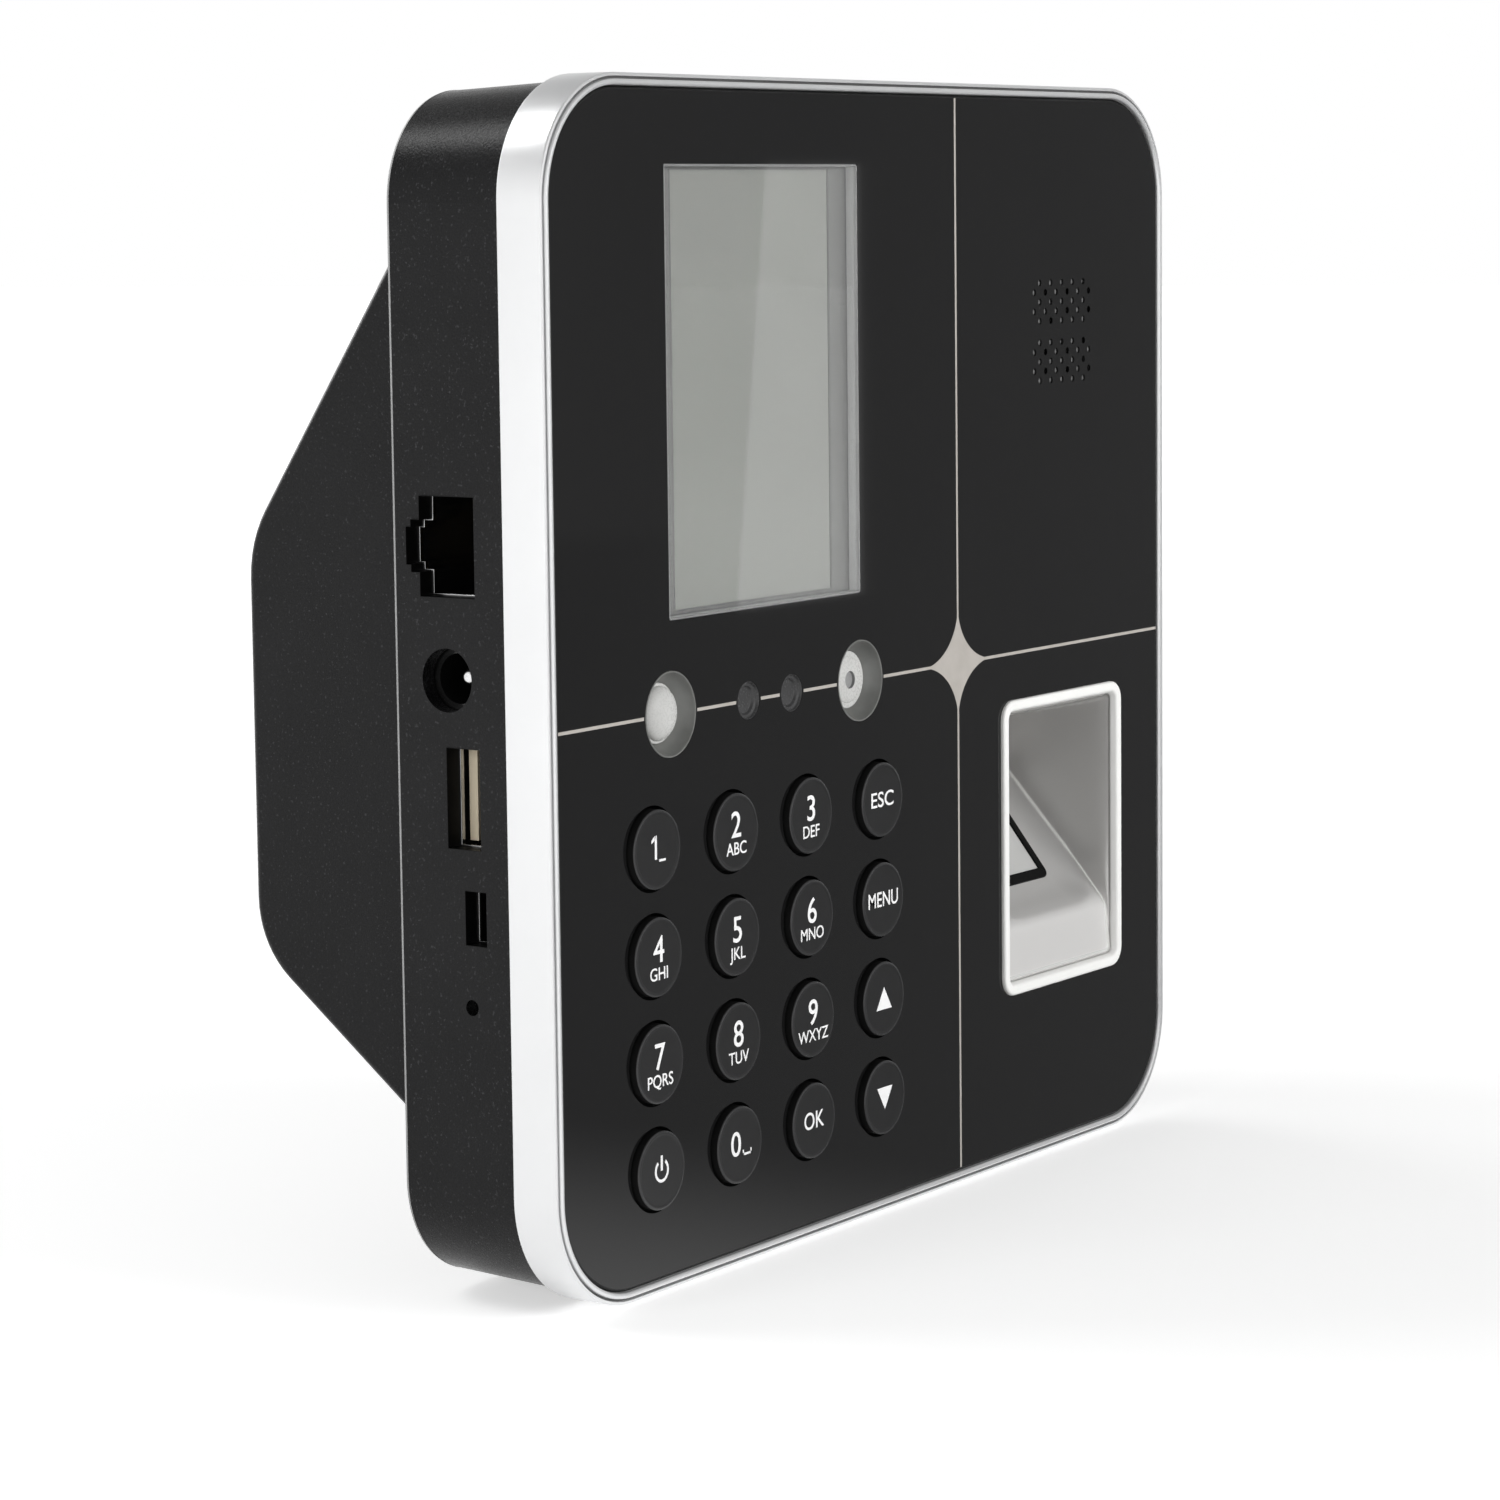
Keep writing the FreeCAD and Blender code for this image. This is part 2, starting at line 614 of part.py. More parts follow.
def speaker_holes():
    """Centres of both staggered groups of holes."""
    centres = []
    for group in SPEAKER_GROUP_Z:
        for row, count in enumerate(HOLE_ROWS):
            z = group + ((len(HOLE_ROWS) - 1) / 2 - row) * HOLE_PITCH_Z
            centres += [(SPEAKER_X + (i - (count - 1) / 2) * HOLE_PITCH_X, z) for i in range(count)]
    return centres


def cloth_outline(front, back, margin):
    """Plate behind both groups of holes, larger than them by margin."""
    half_width = (max(HOLE_ROWS) - 1) / 2 * HOLE_PITCH_X + margin
    reach = max(SPEAKER_GROUP_Z) - speaker_z() + (len(HOLE_ROWS) - 1) / 2 * HOLE_PITCH_Z
    return slab(half_width, reach + margin, margin / 2, front, back, SPEAKER_X, speaker_z())


def module_span(clearance):
    """Left, right, bottom and top of the screen module, grown by clearance."""
    half = MODULE_WIDTH / 2 + clearance
    bottom = SCREEN_Z - PANEL_VIEW_HEIGHT / 2 - MODULE_BOTTOM_BORDER - clearance
    top = SCREEN_Z + PANEL_VIEW_HEIGHT / 2 + MODULE_TOP_BORDER + clearance
    return PANEL_X - half, PANEL_X + half, bottom, top


def front_chassis():
    """Inner tray behind the fascia, with the openings and all the bosses that face the rear."""
    border = BEZEL_RIM + FASCIA_GAP
    front = FASCIA_BACK - 1
    back = CHASSIS_BACK + 1
    left, right, bottom, top = module_span(CHASSIS_CLEARANCE)
    flange = KEY_RADIUS + KEY_FLANGE + KEY_SIDE_GAP
    lamp_seat = LAMP_MOUTH_RADIUS + LAMP_FLANGE + CHASSIS_CLEARANCE
    window_seat = CAMERA_RADIUS + CAMERA_WINDOW_FLANGE + CHASSIS_CLEARANCE
    cuts = [box(left, right, front, back, bottom, top)]
    cuts += [rod_y(x, z, front, back, flange) for _, x, z in key_centres()]
    cuts += [rod_y(x, LAMP_Z, front, back, lamp_seat) for x in LAMP_X]
    cuts += [rod_y(x, LAMP_Z, front, back, window_seat) for x in CAMERA_X]
    cuts.append(reader_opening(front, back))
    cuts.append(cloth_outline(front, FASCIA_BACK + CLOTH_THICKNESS, CLOTH_MARGIN + CHASSIS_CLEARANCE))
    cuts.append(cloth_outline(front, back, CLOTH_MARGIN / 2))
    tray = inset_slab(border, FASCIA_BACK, CHASSIS_BACK).cut(Part.makeCompound(cuts))
    # Centres, depth of the boss's end, its radius, depth of the screw's tip and the screw's radius
    screws = (
        (corner_screw_centres(), COVER_FRONT - COVER_BOSS_HEIGHT, CORNER_BOSS_RADIUS,
         head_front() - CORNER_SCREW_LENGTH, CORNER_SCREW_RADIUS),
        (board_screw_centres(), MAIN_BOARD_DEPTH, BOARD_BOSS_RADIUS,
         MAIN_BOARD_DEPTH - BOARD_SCREW_GRIP, BOARD_SCREW_RADIUS),
        (small_screw_centres(), KEYPAD_BOARD_DEPTH, SMALL_BOSS_RADIUS,
         KEYPAD_BOARD_DEPTH - SMALL_SCREW_GRIP, SMALL_SCREW_RADIUS),
    )
    bosses = []
    holes = []
    for centres, end, boss_radius, tip, screw_radius in screws:
        bosses += [rod_y(x, z, CHASSIS_BACK, end, boss_radius) for x, z in centres]
        holes += [rod_y(x, z, tip, end + 1, screw_radius + CLOSE_FIT) for x, z in centres]
    return join([tray] + bosses).cut(Part.makeCompound(holes))


# Screen

def screen_window():
    """Clear pane that fills the fascia's screen opening."""
    half_width = SCREEN_WIDTH / 2 - WINDOW_CLEARANCE
    half_height = SCREEN_HEIGHT / 2 - WINDOW_CLEARANCE
    return box(SCREEN_X - half_width, SCREEN_X + half_width, FASCIA_RECESS, FASCIA_BACK,
               SCREEN_Z - half_height, SCREEN_Z + half_height)


def panel_block(front, back, clearance):
    half_width = PANEL_VIEW_WIDTH / 2 + clearance
    half_height = PANEL_VIEW_HEIGHT / 2 + clearance
    return box(PANEL_X - half_width, PANEL_X + half_width, front, back,
               SCREEN_Z - half_height, SCREEN_Z + half_height)


def lcd_panel():
    return panel_block(FASCIA_BACK, FASCIA_BACK + PANEL_THICKNESS, 0)


def lcd_frame():
    """Steel can around the panel, flush with its front."""
    left, right, bottom, top = module_span(0)
    can = box(left, right, FASCIA_BACK, CHASSIS_BACK, bottom, top)
    return can.cut(panel_block(FASCIA_BACK - 1, FASCIA_BACK + PANEL_THICKNESS, WINDOW_CLEARANCE))


def cable(points, half_x, half_y, half_z):
    """Flat flexible strip along a path of straight runs parallel to the axes."""
    runs = []
    for a, b in zip(points, points[1:]):
        runs.append(box(min(a.x, b.x) - half_x, max(a.x, b.x) + half_x,
                        min(a.y, b.y) - half_y, max(a.y, b.y) + half_y,
                        min(a.z, b.z) - half_z, max(a.z, b.z) + half_z))
    return join(runs)


def screen_cable():
    """From the back of the screen module over the main board's top edge to its rear."""
    half = CABLE_THICKNESS / 2
    start = CHASSIS_BACK + half
    end = BOARD_REAR + CABLE_LIFT
    _, _, _, top = module_span(0)
    high = top - SCREEN_CABLE_BELOW_TOP
    low = MAIN_BOARD_TOP - CABLE_LAP
    points = [V(PANEL_X, start, high), V(PANEL_X, end, high), V(PANEL_X, end, low)]
    return cable(points, SCREEN_CABLE_WIDTH / 2, half, half)


def reader_cable():
    """From the side of the reader's module to the main board's rear."""
    half = CABLE_THICKNESS / 2
    end = reader_local(V(0, READER_COLLAR + MODULE_LENGTH / 2, 0))
    start_x = READER_X - SENSOR_WIDTH / 2 - MODULE_MARGIN - half
    turn_x = READER_X - READER_WIDTH / 2 + READER_OVERLAP - CABLE_CLEARANCE
    rear = BOARD_REAR + CABLE_LIFT
    points = [V(start_x, end.y, end.z), V(turn_x, end.y, end.z), V(turn_x, rear, end.z),
              V(MAIN_BOARD_RIGHT - CABLE_LAP, rear, end.z)]
    return cable(points, half, half, READER_CABLE_WIDTH / 2)


def flat_cables():
    return Part.makeCompound([screen_cable(), reader_cable()])


# Keypad

def key(x, z):
    """Round cap with a flange behind the fascia and a stem that stops one travel short of its switch."""
    front = FASCIA_RECESS - KEY_PROUD
    flange_front = FASCIA_BACK + KEY_FLANGE_GAP
    flange_back = flange_front + KEY_FLANGE_THICKNESS
    stem_end = actuator_front() - KEY_TRAVEL - PRESS_GAP
    cap = rod_y(x, z, front, flange_front, KEY_RADIUS)
    cap = cap.makeFillet(KEY_EDGE_ROUND, edges_at_depth(cap, front))
    flange = rod_y(x, z, flange_front, flange_back, KEY_RADIUS + KEY_FLANGE)
    return join([cap, flange, rod_y(x, z, flange_back, stem_end, KEY_STEM_RADIUS)])


def actuator_front():
    """Depth of the switch actuators' fronts when they are pressed."""
    return KEYPAD_BOARD_DEPTH - SWITCH_THICKNESS - ACTUATOR_HEIGHT


def board_with_holes(left, right, bottom, top, centres):
    """Thin circuit board at the keypad's depth with screw holes."""
    back = KEYPAD_BOARD_DEPTH + KEYPAD_BOARD_THICKNESS
    hole_radius = SMALL_SCREW_RADIUS + HOLE_CLEARANCE
    holes = [rod_y(x, z, KEYPAD_BOARD_DEPTH - 1, back + 1, hole_radius) for x, z in centres]
    return cut_all(box(left, right, KEYPAD_BOARD_DEPTH, back, bottom, top), holes)


def keypad_board():
    left = KEY_FIRST_X - KEYPAD_BOARD_MARGIN
    right = KEY_FIRST_X + (len(KEY_ROWS[0]) - 1) * KEY_PITCH_X + KEYPAD_BOARD_MARGIN
    top = KEY_FIRST_Z + KEYPAD_BOARD_MARGIN
    bottom = KEY_FIRST_Z - (len(KEY_ROWS) - 1) * KEY_PITCH_Z - KEYPAD_BOARD_MARGIN
    return board_with_holes(left, right, bottom, top, keypad_screw_centres())


def key_switches():
    """One tact switch under each key, as a group of separate solids."""
    half = SWITCH_SIZE / 2
    body_front = KEYPAD_BOARD_DEPTH - SWITCH_THICKNESS
    switches = []
    for _, x, z in key_centres():
        body = box(x - half, x + half, body_front, KEYPAD_BOARD_DEPTH, z - half, z + half)
        switches.append(join([body, rod_y(x, z, actuator_front(), body_front, ACTUATOR_RADIUS)]))
    return Part.makeCompound(switches)


# Lamps and cameras

def throat_depth():
    return FASCIA_RECESS + LAMP_CONE_DEPTH


def lamp_reflector(x):
    """Conical cup whose lip is flush with the fascia, with a flange behind it."""
    cup = rod_y(x, LAMP_Z, FASCIA_RECESS, CHASSIS_BACK, LAMP_MOUTH_RADIUS)
    flange_back = FASCIA_BACK + LAMP_FLANGE_THICKNESS
    flange = rod_y(x, LAMP_Z, FASCIA_BACK, flange_back, LAMP_MOUTH_RADIUS + LAMP_FLANGE)
    cone = Part.makeCone(LAMP_MOUTH_RADIUS - LAMP_LIP, LAMP_THROAT_RADIUS, LAMP_CONE_DEPTH,
                         V(x, FASCIA_RECESS, LAMP_Z), V(0, 1, 0))
    bore = rod_y(x, LAMP_Z, throat_depth(), CHASSIS_BACK + 1, LAMP_THROAT_RADIUS)
    return cut_all(join([cup, flange]), [cone, bore])


def lamp_lens(x, height):
    """Disc in the reflector's throat with a domed front of the given height."""
    radius = LAMP_THROAT_RADIUS - CLOSE_FIT
    front = throat_depth()
    sphere_radius = (radius ** 2 + height ** 2) / (2 * height)
    ball = Part.makeSphere(sphere_radius, V(x, front - height + sphere_radius, LAMP_Z))
    dome = rod_y(x, LAMP_Z, front - height - 1, front, radius).common(ball)
    return join([rod_y(x, LAMP_Z, front, front + LENS_THICKNESS, radius), dome])


def left_lamp_lens():
    return lamp_lens(LAMP_X[0], LENS_HEIGHT[0])


def right_lamp_lens():
    """Flatter lens with a round dimple over its LED."""
    front = throat_depth() - LENS_HEIGHT[1]
    dimple = rod_y(LAMP_X[1], LAMP_Z, front - 1, front + LENS_DIMPLE_DEPTH, LENS_DIMPLE_RADIUS)
    return lamp_lens(LAMP_X[1], LENS_HEIGHT[1]).cut(dimple)


def lamp_leds():
    half = LED_SIZE / 2
    front = KEYPAD_BOARD_DEPTH - LED_HEIGHT
    return Part.makeCompound([
        box(x - half, x + half, front, KEYPAD_BOARD_DEPTH, LAMP_Z - half, LAMP_Z + half) for x in LAMP_X
    ])


def camera_window(x):
    """Dark disc set back in the fascia, with a flange behind it."""
    front = FASCIA_RECESS + CAMERA_WINDOW_RECESS
    disc = rod_y(x, LAMP_Z, front, FASCIA_BACK, CAMERA_RADIUS - WINDOW_CLEARANCE)
    back = FASCIA_BACK + CAMERA_WINDOW_FLANGE_THICKNESS
    return join([disc, rod_y(x, LAMP_Z, FASCIA_BACK, back, CAMERA_RADIUS + CAMERA_WINDOW_FLANGE)])


def camera_modules():
    """Two camera modules on the lamp board, as a group of separate solids."""
    half = CAMERA_BASE_SIZE / 2
    base_front = KEYPAD_BOARD_DEPTH - CAMERA_BASE_THICKNESS
    modules = []
    for x in CAMERA_X:
        base = box(x - half, x + half, base_front, KEYPAD_BOARD_DEPTH, LAMP_Z - half, LAMP_Z + half)
        barrel = rod_y(x, LAMP_Z, base_front - CAMERA_BARREL_LENGTH, base_front, CAMERA_BARREL_RADIUS)
        modules.append(join([base, barrel]))
    return Part.makeCompound(modules)


def lamp_board():
    half = LAMP_BOARD_HEIGHT / 2
    left = min(LAMP_X) - LAMP_BOARD_MARGIN
    right = max(LAMP_X) + LAMP_BOARD_MARGIN
    return board_with_holes(left, right, LAMP_Z - half, LAMP_Z + half, lamp_screw_centres())


# Fingerprint reader

def reader_mouth():
    """Half width, half height, bottom and top of the finger recess at its mouth."""
    half_width = READER_WIDTH / 2 - READER_RIM
    half_height = READER_HEIGHT / 2 - READER_RIM
    return half_width, half_height, READER_Z - half_height, READER_Z + half_height


def recess_profile():
    """Corners of the recess in the Y-Z plane: ledge, sloping floor, deep end and ceiling."""
    _, half_height, bottom, top = reader_mouth()
    before = FASCIA_RECESS - READER_RIM_PROUD - 1
    ledge_top = bottom + LEDGE_HEIGHT
    deep = (top - ledge_top + LEDGE_END_DEPTH / FLOOR_RISE) / (CEILING_FALL + 1 / FLOOR_RISE)
    ledge_slope = (LEDGE_END_DEPTH - LEDGE_DEPTH) / LEDGE_HEIGHT
    return [
        V(READER_X, before, top - CEILING_FALL * before),
        V(READER_X, before, bottom - half_height),
        V(READER_X, LEDGE_DEPTH - ledge_slope * half_height, bottom - half_height),
        V(READER_X, LEDGE_END_DEPTH, ledge_top),
        V(READER_X, deep, top - CEILING_FALL * deep),
    ]


def reader_local(point):
    """Place of a point given from the middle of the prism's face: X, into the floor, up along the floor."""
    _, _, bottom, _ = reader_mouth()
    lean = math.atan(FLOOR_RISE)
    along = SENSOR_FROM_LEDGE + SENSOR_HEIGHT / 2 + point.z
    inward = DISH_DEPTH + point.y
    y = LEDGE_END_DEPTH + along * math.sin(lean) + inward * math.cos(lean)
    z = bottom + LEDGE_HEIGHT + along * math.cos(lean) - inward * math.sin(lean)
    return V(READER_X + point.x, y, z)


def on_floor(shape):
    """Turn and move a shape from the prism's own frame to its place on the sloping floor."""
    placed = shape.copy()
    placed.rotate(V(0, 0, 0), V(1, 0, 0), -math.degrees(math.atan(FLOOR_RISE)))
    placed.translate(reader_local(V(0, 0, 0)))
    return placed


def recess_cavity():
    """Space that the finger enters: the profile's prism within tapered, rounded side walls."""
    half_width, half_height, _, _ = reader_mouth()
    profile = recess_profile()
    before = profile[0].y
    deep = profile[-1].y
    prism = Part.Face(Part.makePolygon(profile + profile[:1])).extrude(V(2 * half_width, 0, 0))
    prism.translate(V(-half_width, 0, 0))
    for corner, radius in ((profile[-1], RECESS_DEEP_ROUND), (profile[-2], RECESS_DEEP_ROUND)):
        corner_edges = [
            e for e in prism.Edges
            if e.BoundBox.XLength > half_width
            and math.hypot(e.CenterOfMass.y - corner.y, e.CenterOfMass.z - corner.z) < TOLERANCE
        ]
        prism = prism.makeFillet(radius, corner_edges)
    narrow = half_width - SIDE_TAPER * deep
    sides = Part.makeLoft([
        outline(half_width, half_height, RECESS_ROUND, 0, READER_X, READER_Z),
        outline(narrow, half_height, RECESS_ROUND, deep, READER_X, READER_Z),
    ], True, True)
    mouth = slab(half_width, half_height, RECESS_ROUND, before, 0, READER_X, READER_Z)
    return prism.common(join([sides, mouth]))


def dish():
    """Shallow curved hollow around the prism, in the prism's own frame."""
    def at(height, margin):
        corner = SENSOR_CORNER + margin / 2
        return outline(SENSOR_WIDTH / 2 + margin, SENSOR_HEIGHT / 2 + margin, corner, -height)
    return Part.makeLoft([
        at(0, SENSOR_GAP), at(DISH_DEPTH / 3, DISH_MARGIN / 2), at(DISH_DEPTH, DISH_MARGIN),
    ], True, False)


def prism_outline(inset, front, back):
    """Plate with the seal's outline moved in by inset, in the prism's own frame."""
    corner = max(SENSOR_CORNER - inset, SENSOR_LEAST_CORNER)
    return slab(SENSOR_WIDTH / 2 - inset, SENSOR_HEIGHT / 2 - inset, corner, front, back)


def snap_hooks(tub_width):
    """One hook on each side of the tub that catches behind the chassis."""
    front = CHASSIS_BACK + SEAT_CLEARANCE
    length = HOOK_PROUD + READER_WALL / 2
    low = READER_Z - HOOK_HEIGHT / 2
    high = READER_Z + HOOK_HEIGHT / 2
    right = READER_X + tub_width + HOOK_PROUD
    left = READER_X - tub_width - HOOK_PROUD
    return [
        box(left, left + length, front, front + HOOK_LENGTH, low, high),
        box(right - length, right, front, front + HOOK_LENGTH, low, high),
    ]


def reader_bezel():
    """Silver surround: rim on the fascia, tapered recess, floor with the prism's opening, two snap hooks."""
    half_width, half_height, _, _ = reader_mouth()
    rim_front = FASCIA_RECESS - READER_RIM_PROUD
    rim = slab(READER_WIDTH / 2, READER_HEIGHT / 2, READER_CORNER, rim_front, FASCIA_RECESS,
               READER_X, READER_Z)
    mouth = slab(half_width, half_height, RECESS_ROUND, rim_front - 1, FASCIA_RECESS, READER_X, READER_Z)
    rim = rim.cut(mouth)
    rim = rim.makeFillet(READER_RIM_ROUND, edges_at_depth(rim, rim_front))
    tub_width = READER_WIDTH / 2 - READER_OVERLAP - READER_FIT
    tub_height = READER_HEIGHT / 2 - READER_OVERLAP - READER_FIT
    profile = recess_profile()
    around = Part.makePolygon(profile + profile[:1]).makeOffset2D(READER_WALL, 2)
    tub = Part.Face(around).extrude(V(2 * tub_width, 0, 0))
    tub.translate(V(-tub_width, 0, 0))
    tub = tub.common(slab(tub_width, tub_height, READER_CORNER - READER_OVERLAP, FASCIA_RECESS,
                          WALL_FACE_DEPTH, READER_X, READER_Z))
    collar = prism_outline(-DISH_MARGIN, -DISH_DEPTH, READER_COLLAR)
    opening = prism_outline(-SENSOR_GAP, -DISH_DEPTH, READER_COLLAR + 1)
    body = join([tub, on_floor(collar)] + snap_hooks(tub_width))
    return join([cut_all(body, [recess_cavity(), on_floor(dish()), on_floor(opening)]), rim])


def reader_seal():
    """Black ring around the prism, flush with its face."""
    ring = prism_outline(0, 0, SEAL_THICKNESS).cut(prism_outline(SEAL_WIDTH, -1, SEAL_THICKNESS + 1))
    return on_floor(ring)


def reader_prism():
    """Glass block with a flat face and a wedge behind it."""
    inset = SEAL_WIDTH + CLOSE_FIT
    half_width = SENSOR_WIDTH / 2 - inset
    half_height = SENSOR_HEIGHT / 2 - inset - SENSOR_CORNER
    wedge = Part.makePolygon([
        V(-half_width, PRISM_STRAIGHT, -half_height), V(-half_width, PRISM_STRAIGHT, half_height),
        V(-half_width, PRISM_STRAIGHT + PRISM_APEX, 0), V(-half_width, PRISM_STRAIGHT, -half_height),
    ])
    block = prism_outline(inset, 0, PRISM_STRAIGHT)
    return on_floor(join([block, Part.Face(wedge).extrude(V(2 * half_width, 0, 0))]))


def reader_module():
    """Black optical housing behind the prism, open towards it."""
    half_width = SENSOR_WIDTH / 2 + MODULE_MARGIN
    half_height = SENSOR_HEIGHT / 2 + MODULE_MARGIN
    back = READER_COLLAR + MODULE_LENGTH
    block = slab(half_width, half_height, SENSOR_CORNER, READER_COLLAR, back)
    hollow = slab(half_width - MODULE_WALL, half_height - MODULE_WALL, SENSOR_CORNER / 2,
                  READER_COLLAR - 1, back - MODULE_WALL)
    return on_floor(block.cut(hollow))


# Speaker

def speaker_cloth():
    return cloth_outline(FASCIA_BACK, FASCIA_BACK + CLOTH_THICKNESS, CLOTH_MARGIN)


def speaker_basket():
    """Steel cup that holds the cone against the chassis, with a hole for the magnet's pole."""
    back = CHASSIS_BACK + SPEAKER_LENGTH
    cup = rod_y(SPEAKER_X, speaker_z(), CHASSIS_BACK, back, SPEAKER_RADIUS)
    return cut_all(cup, [
        rod_y(SPEAKER_X, speaker_z(), CHASSIS_BACK - 1, back - BASKET_WALL, SPEAKER_RADIUS - BASKET_WALL),
        rod_y(SPEAKER_X, speaker_z(), CHASSIS_BACK, back + 1, CONE_CAP_RADIUS),
    ])


def speaker_cone():
    """Thin paper cone with a flat cap in the middle."""
    front = CHASSIS_BACK + BASKET_WALL
    mouth = SPEAKER_RADIUS - BASKET_WALL
    centre = V(SPEAKER_X, front, speaker_z())
    outside = Part.makeCone(mouth, CONE_CAP_RADIUS, CONE_DEPTH, centre, V(0, 1, 0))
    inside = outside.copy()
    inside.translate(V(0, -CONE_THICKNESS, 0))
    cap_front = front + CONE_DEPTH - CONE_THICKNESS
    cap = rod_y(SPEAKER_X, speaker_z(), cap_front, front + CONE_DEPTH, CONE_CAP_RADIUS)
    return join([outside.cut(inside), cap])


def speaker_magnet():
    front = CHASSIS_BACK + SPEAKER_LENGTH
    pole = rod_y(SPEAKER_X, speaker_z(), front - BASKET_WALL, front, CONE_CAP_RADIUS - CLOSE_FIT)
    return join([rod_y(SPEAKER_X, speaker_z(), front, front + MAGNET_LENGTH, MAGNET_RADIUS), pole])


# Main board and its sockets

def main_board():
    board = box(MAIN_BOARD_LEFT, MAIN_BOARD_RIGHT, MAIN_BOARD_DEPTH, BOARD_REAR,
                MAIN_BOARD_BOTTOM, MAIN_BOARD_TOP)
    holes = [rod_y(x, z, MAIN_BOARD_DEPTH - 1, BOARD_REAR + 1, BOARD_SCREW_RADIUS + HOLE_CLEARANCE)
             for x, z in board_screw_centres()]
    return cut_all(board, holes)


def board_components():
    """Processor, memory and cable connectors on the board's rear, as a group of separate solids."""
    end = reader_local(V(0, READER_COLLAR + MODULE_LENGTH / 2, 0))
    lift = CABLE_LIFT - CABLE_THICKNESS / 2
    low = MAIN_BOARD_TOP - CABLE_LAP
    half_screen = SCREEN_CABLE_WIDTH / 2
    half_reader = READER_CABLE_WIDTH / 2
    lap_end = MAIN_BOARD_RIGHT - CABLE_LAP
    chip_right = MAIN_BOARD_RIGHT - CHIP_FROM_RIGHT
    chip_back = BOARD_REAR + CHIP_HEIGHT
    return Part.makeCompound([
        box(chip_right - PROCESSOR_SIZE, chip_right, BOARD_REAR, chip_back,
            PROCESSOR_BOTTOM, PROCESSOR_BOTTOM + PROCESSOR_SIZE),
        box(chip_right - MEMORY_WIDTH, chip_right, BOARD_REAR, chip_back,
            MEMORY_BOTTOM, MEMORY_BOTTOM + MEMORY_HEIGHT),
        box(PANEL_X - half_screen, PANEL_X + half_screen, BOARD_REAR, BOARD_REAR + lift,
            low, low + CONNECTOR_DEPTH),
        box(lap_end, lap_end + CONNECTOR_DEPTH, BOARD_REAR, BOARD_REAR + lift,
            end.z - half_reader, end.z + half_reader),
    ])


def socket_block(height, width, z, length):
    """Body of a side socket, standing on the rear of the main board."""
    return box(SOCKET_X, SOCKET_X + length, BOARD_REAR, BOARD_REAR + height, z - width / 2, z + width / 2)


def network_socket():
    """Modular jack with a stepped pocket, latch side towards the rear."""
    height = (NETWORK_OPENING_START + NETWORK_OPENING_DEPTH + NETWORK_STEP_1 + NETWORK_STEP_2
              + NETWORK_TOP_WALL)
    block = socket_block(height, NETWORK_WIDTH, NETWORK_Z, NETWORK_LENGTH)
    return block.cut(network_opening(SOCKET_X - 1, SOCKET_X + NETWORK_POCKET, NETWORK_POCKET_INSET))


def network_contacts():
    """Eight gold contacts side by side on the pocket's front wall, as a group of separate solids."""
    low = BOARD_REAR + NETWORK_OPENING_START + NETWORK_POCKET_INSET
    start = SOCKET_X + CONTACT_SETBACK
    end = SOCKET_X + NETWORK_POCKET
    contacts = []
    for i in range(CONTACT_COUNT):
        z = NETWORK_Z + (i - (CONTACT_COUNT - 1) / 2) * CONTACT_PITCH
        side = [V(start, low, z), V(start, low + CONTACT_THICKNESS, z),
                V(end, low + CONTACT_RISE, z), V(end, low + CONTACT_RISE - CONTACT_THICKNESS, z)]
        strip = Part.Face(Part.makePolygon(side + side[:1])).extrude(V(0, 0, CONTACT_WIDTH))
        strip.translate(V(0, 0, -CONTACT_WIDTH / 2))
        contacts.append(strip)
    return Part.makeCompound(contacts)


def dc_socket():
    """Round power inlet in a square block."""
    block = socket_block(DC_HEIGHT + DC_BODY_WIDTH / 2, DC_BODY_WIDTH, DC_Z, DC_BODY_LENGTH)
    bore_end = SOCKET_X + DC_BORE_LENGTH
    return block.cut(rod_x(SOCKET_X - 1, bore_end, BOARD_REAR + DC_HEIGHT, DC_Z, DC_BORE_RADIUS))


def dc_pin():
    start = SOCKET_X + DC_PIN_SETBACK
    pin = rod_x(start, SOCKET_X + DC_BORE_LENGTH, BOARD_REAR + DC_HEIGHT, DC_Z, DC_PIN_RADIUS)
    tip = [e for e in pin.Edges if abs(e.BoundBox.XMax - pin.BoundBox.XMin) < TOLERANCE]
    return pin.makeFillet(DC_PIN_RADIUS / 2, tip)


def usb_host_shell():
    """Folded steel shell, open towards the side wall."""
    grow = 2 * USB_SHELL
    outer = side_box(SOCKET_X, SOCKET_X + USB_LENGTH, USB_HEIGHT, USB_OPENING_DEPTH + grow, USB_Z,
                     USB_OPENING_WIDTH + grow)
    return outer.cut(side_box(SOCKET_X - 1, SOCKET_X + USB_LENGTH - USB_SHELL, USB_HEIGHT, USB_OPENING_DEPTH,
                              USB_Z, USB_OPENING_WIDTH))


def usb_host_tongue():
    """Contact tongue on the block that fills the back of the shell."""
    back = SOCKET_X + USB_LENGTH - USB_SHELL
    block = side_box(back - USB_BLOCK_LENGTH, back, USB_HEIGHT, USB_OPENING_DEPTH, USB_Z, USB_OPENING_WIDTH)
    tongue = side_box(SOCKET_X + TONGUE_SETBACK, back, USB_HEIGHT + TONGUE_OFFSET, TONGUE_THICKNESS, USB_Z,
                      TONGUE_WIDTH)
    return join([block, tongue])


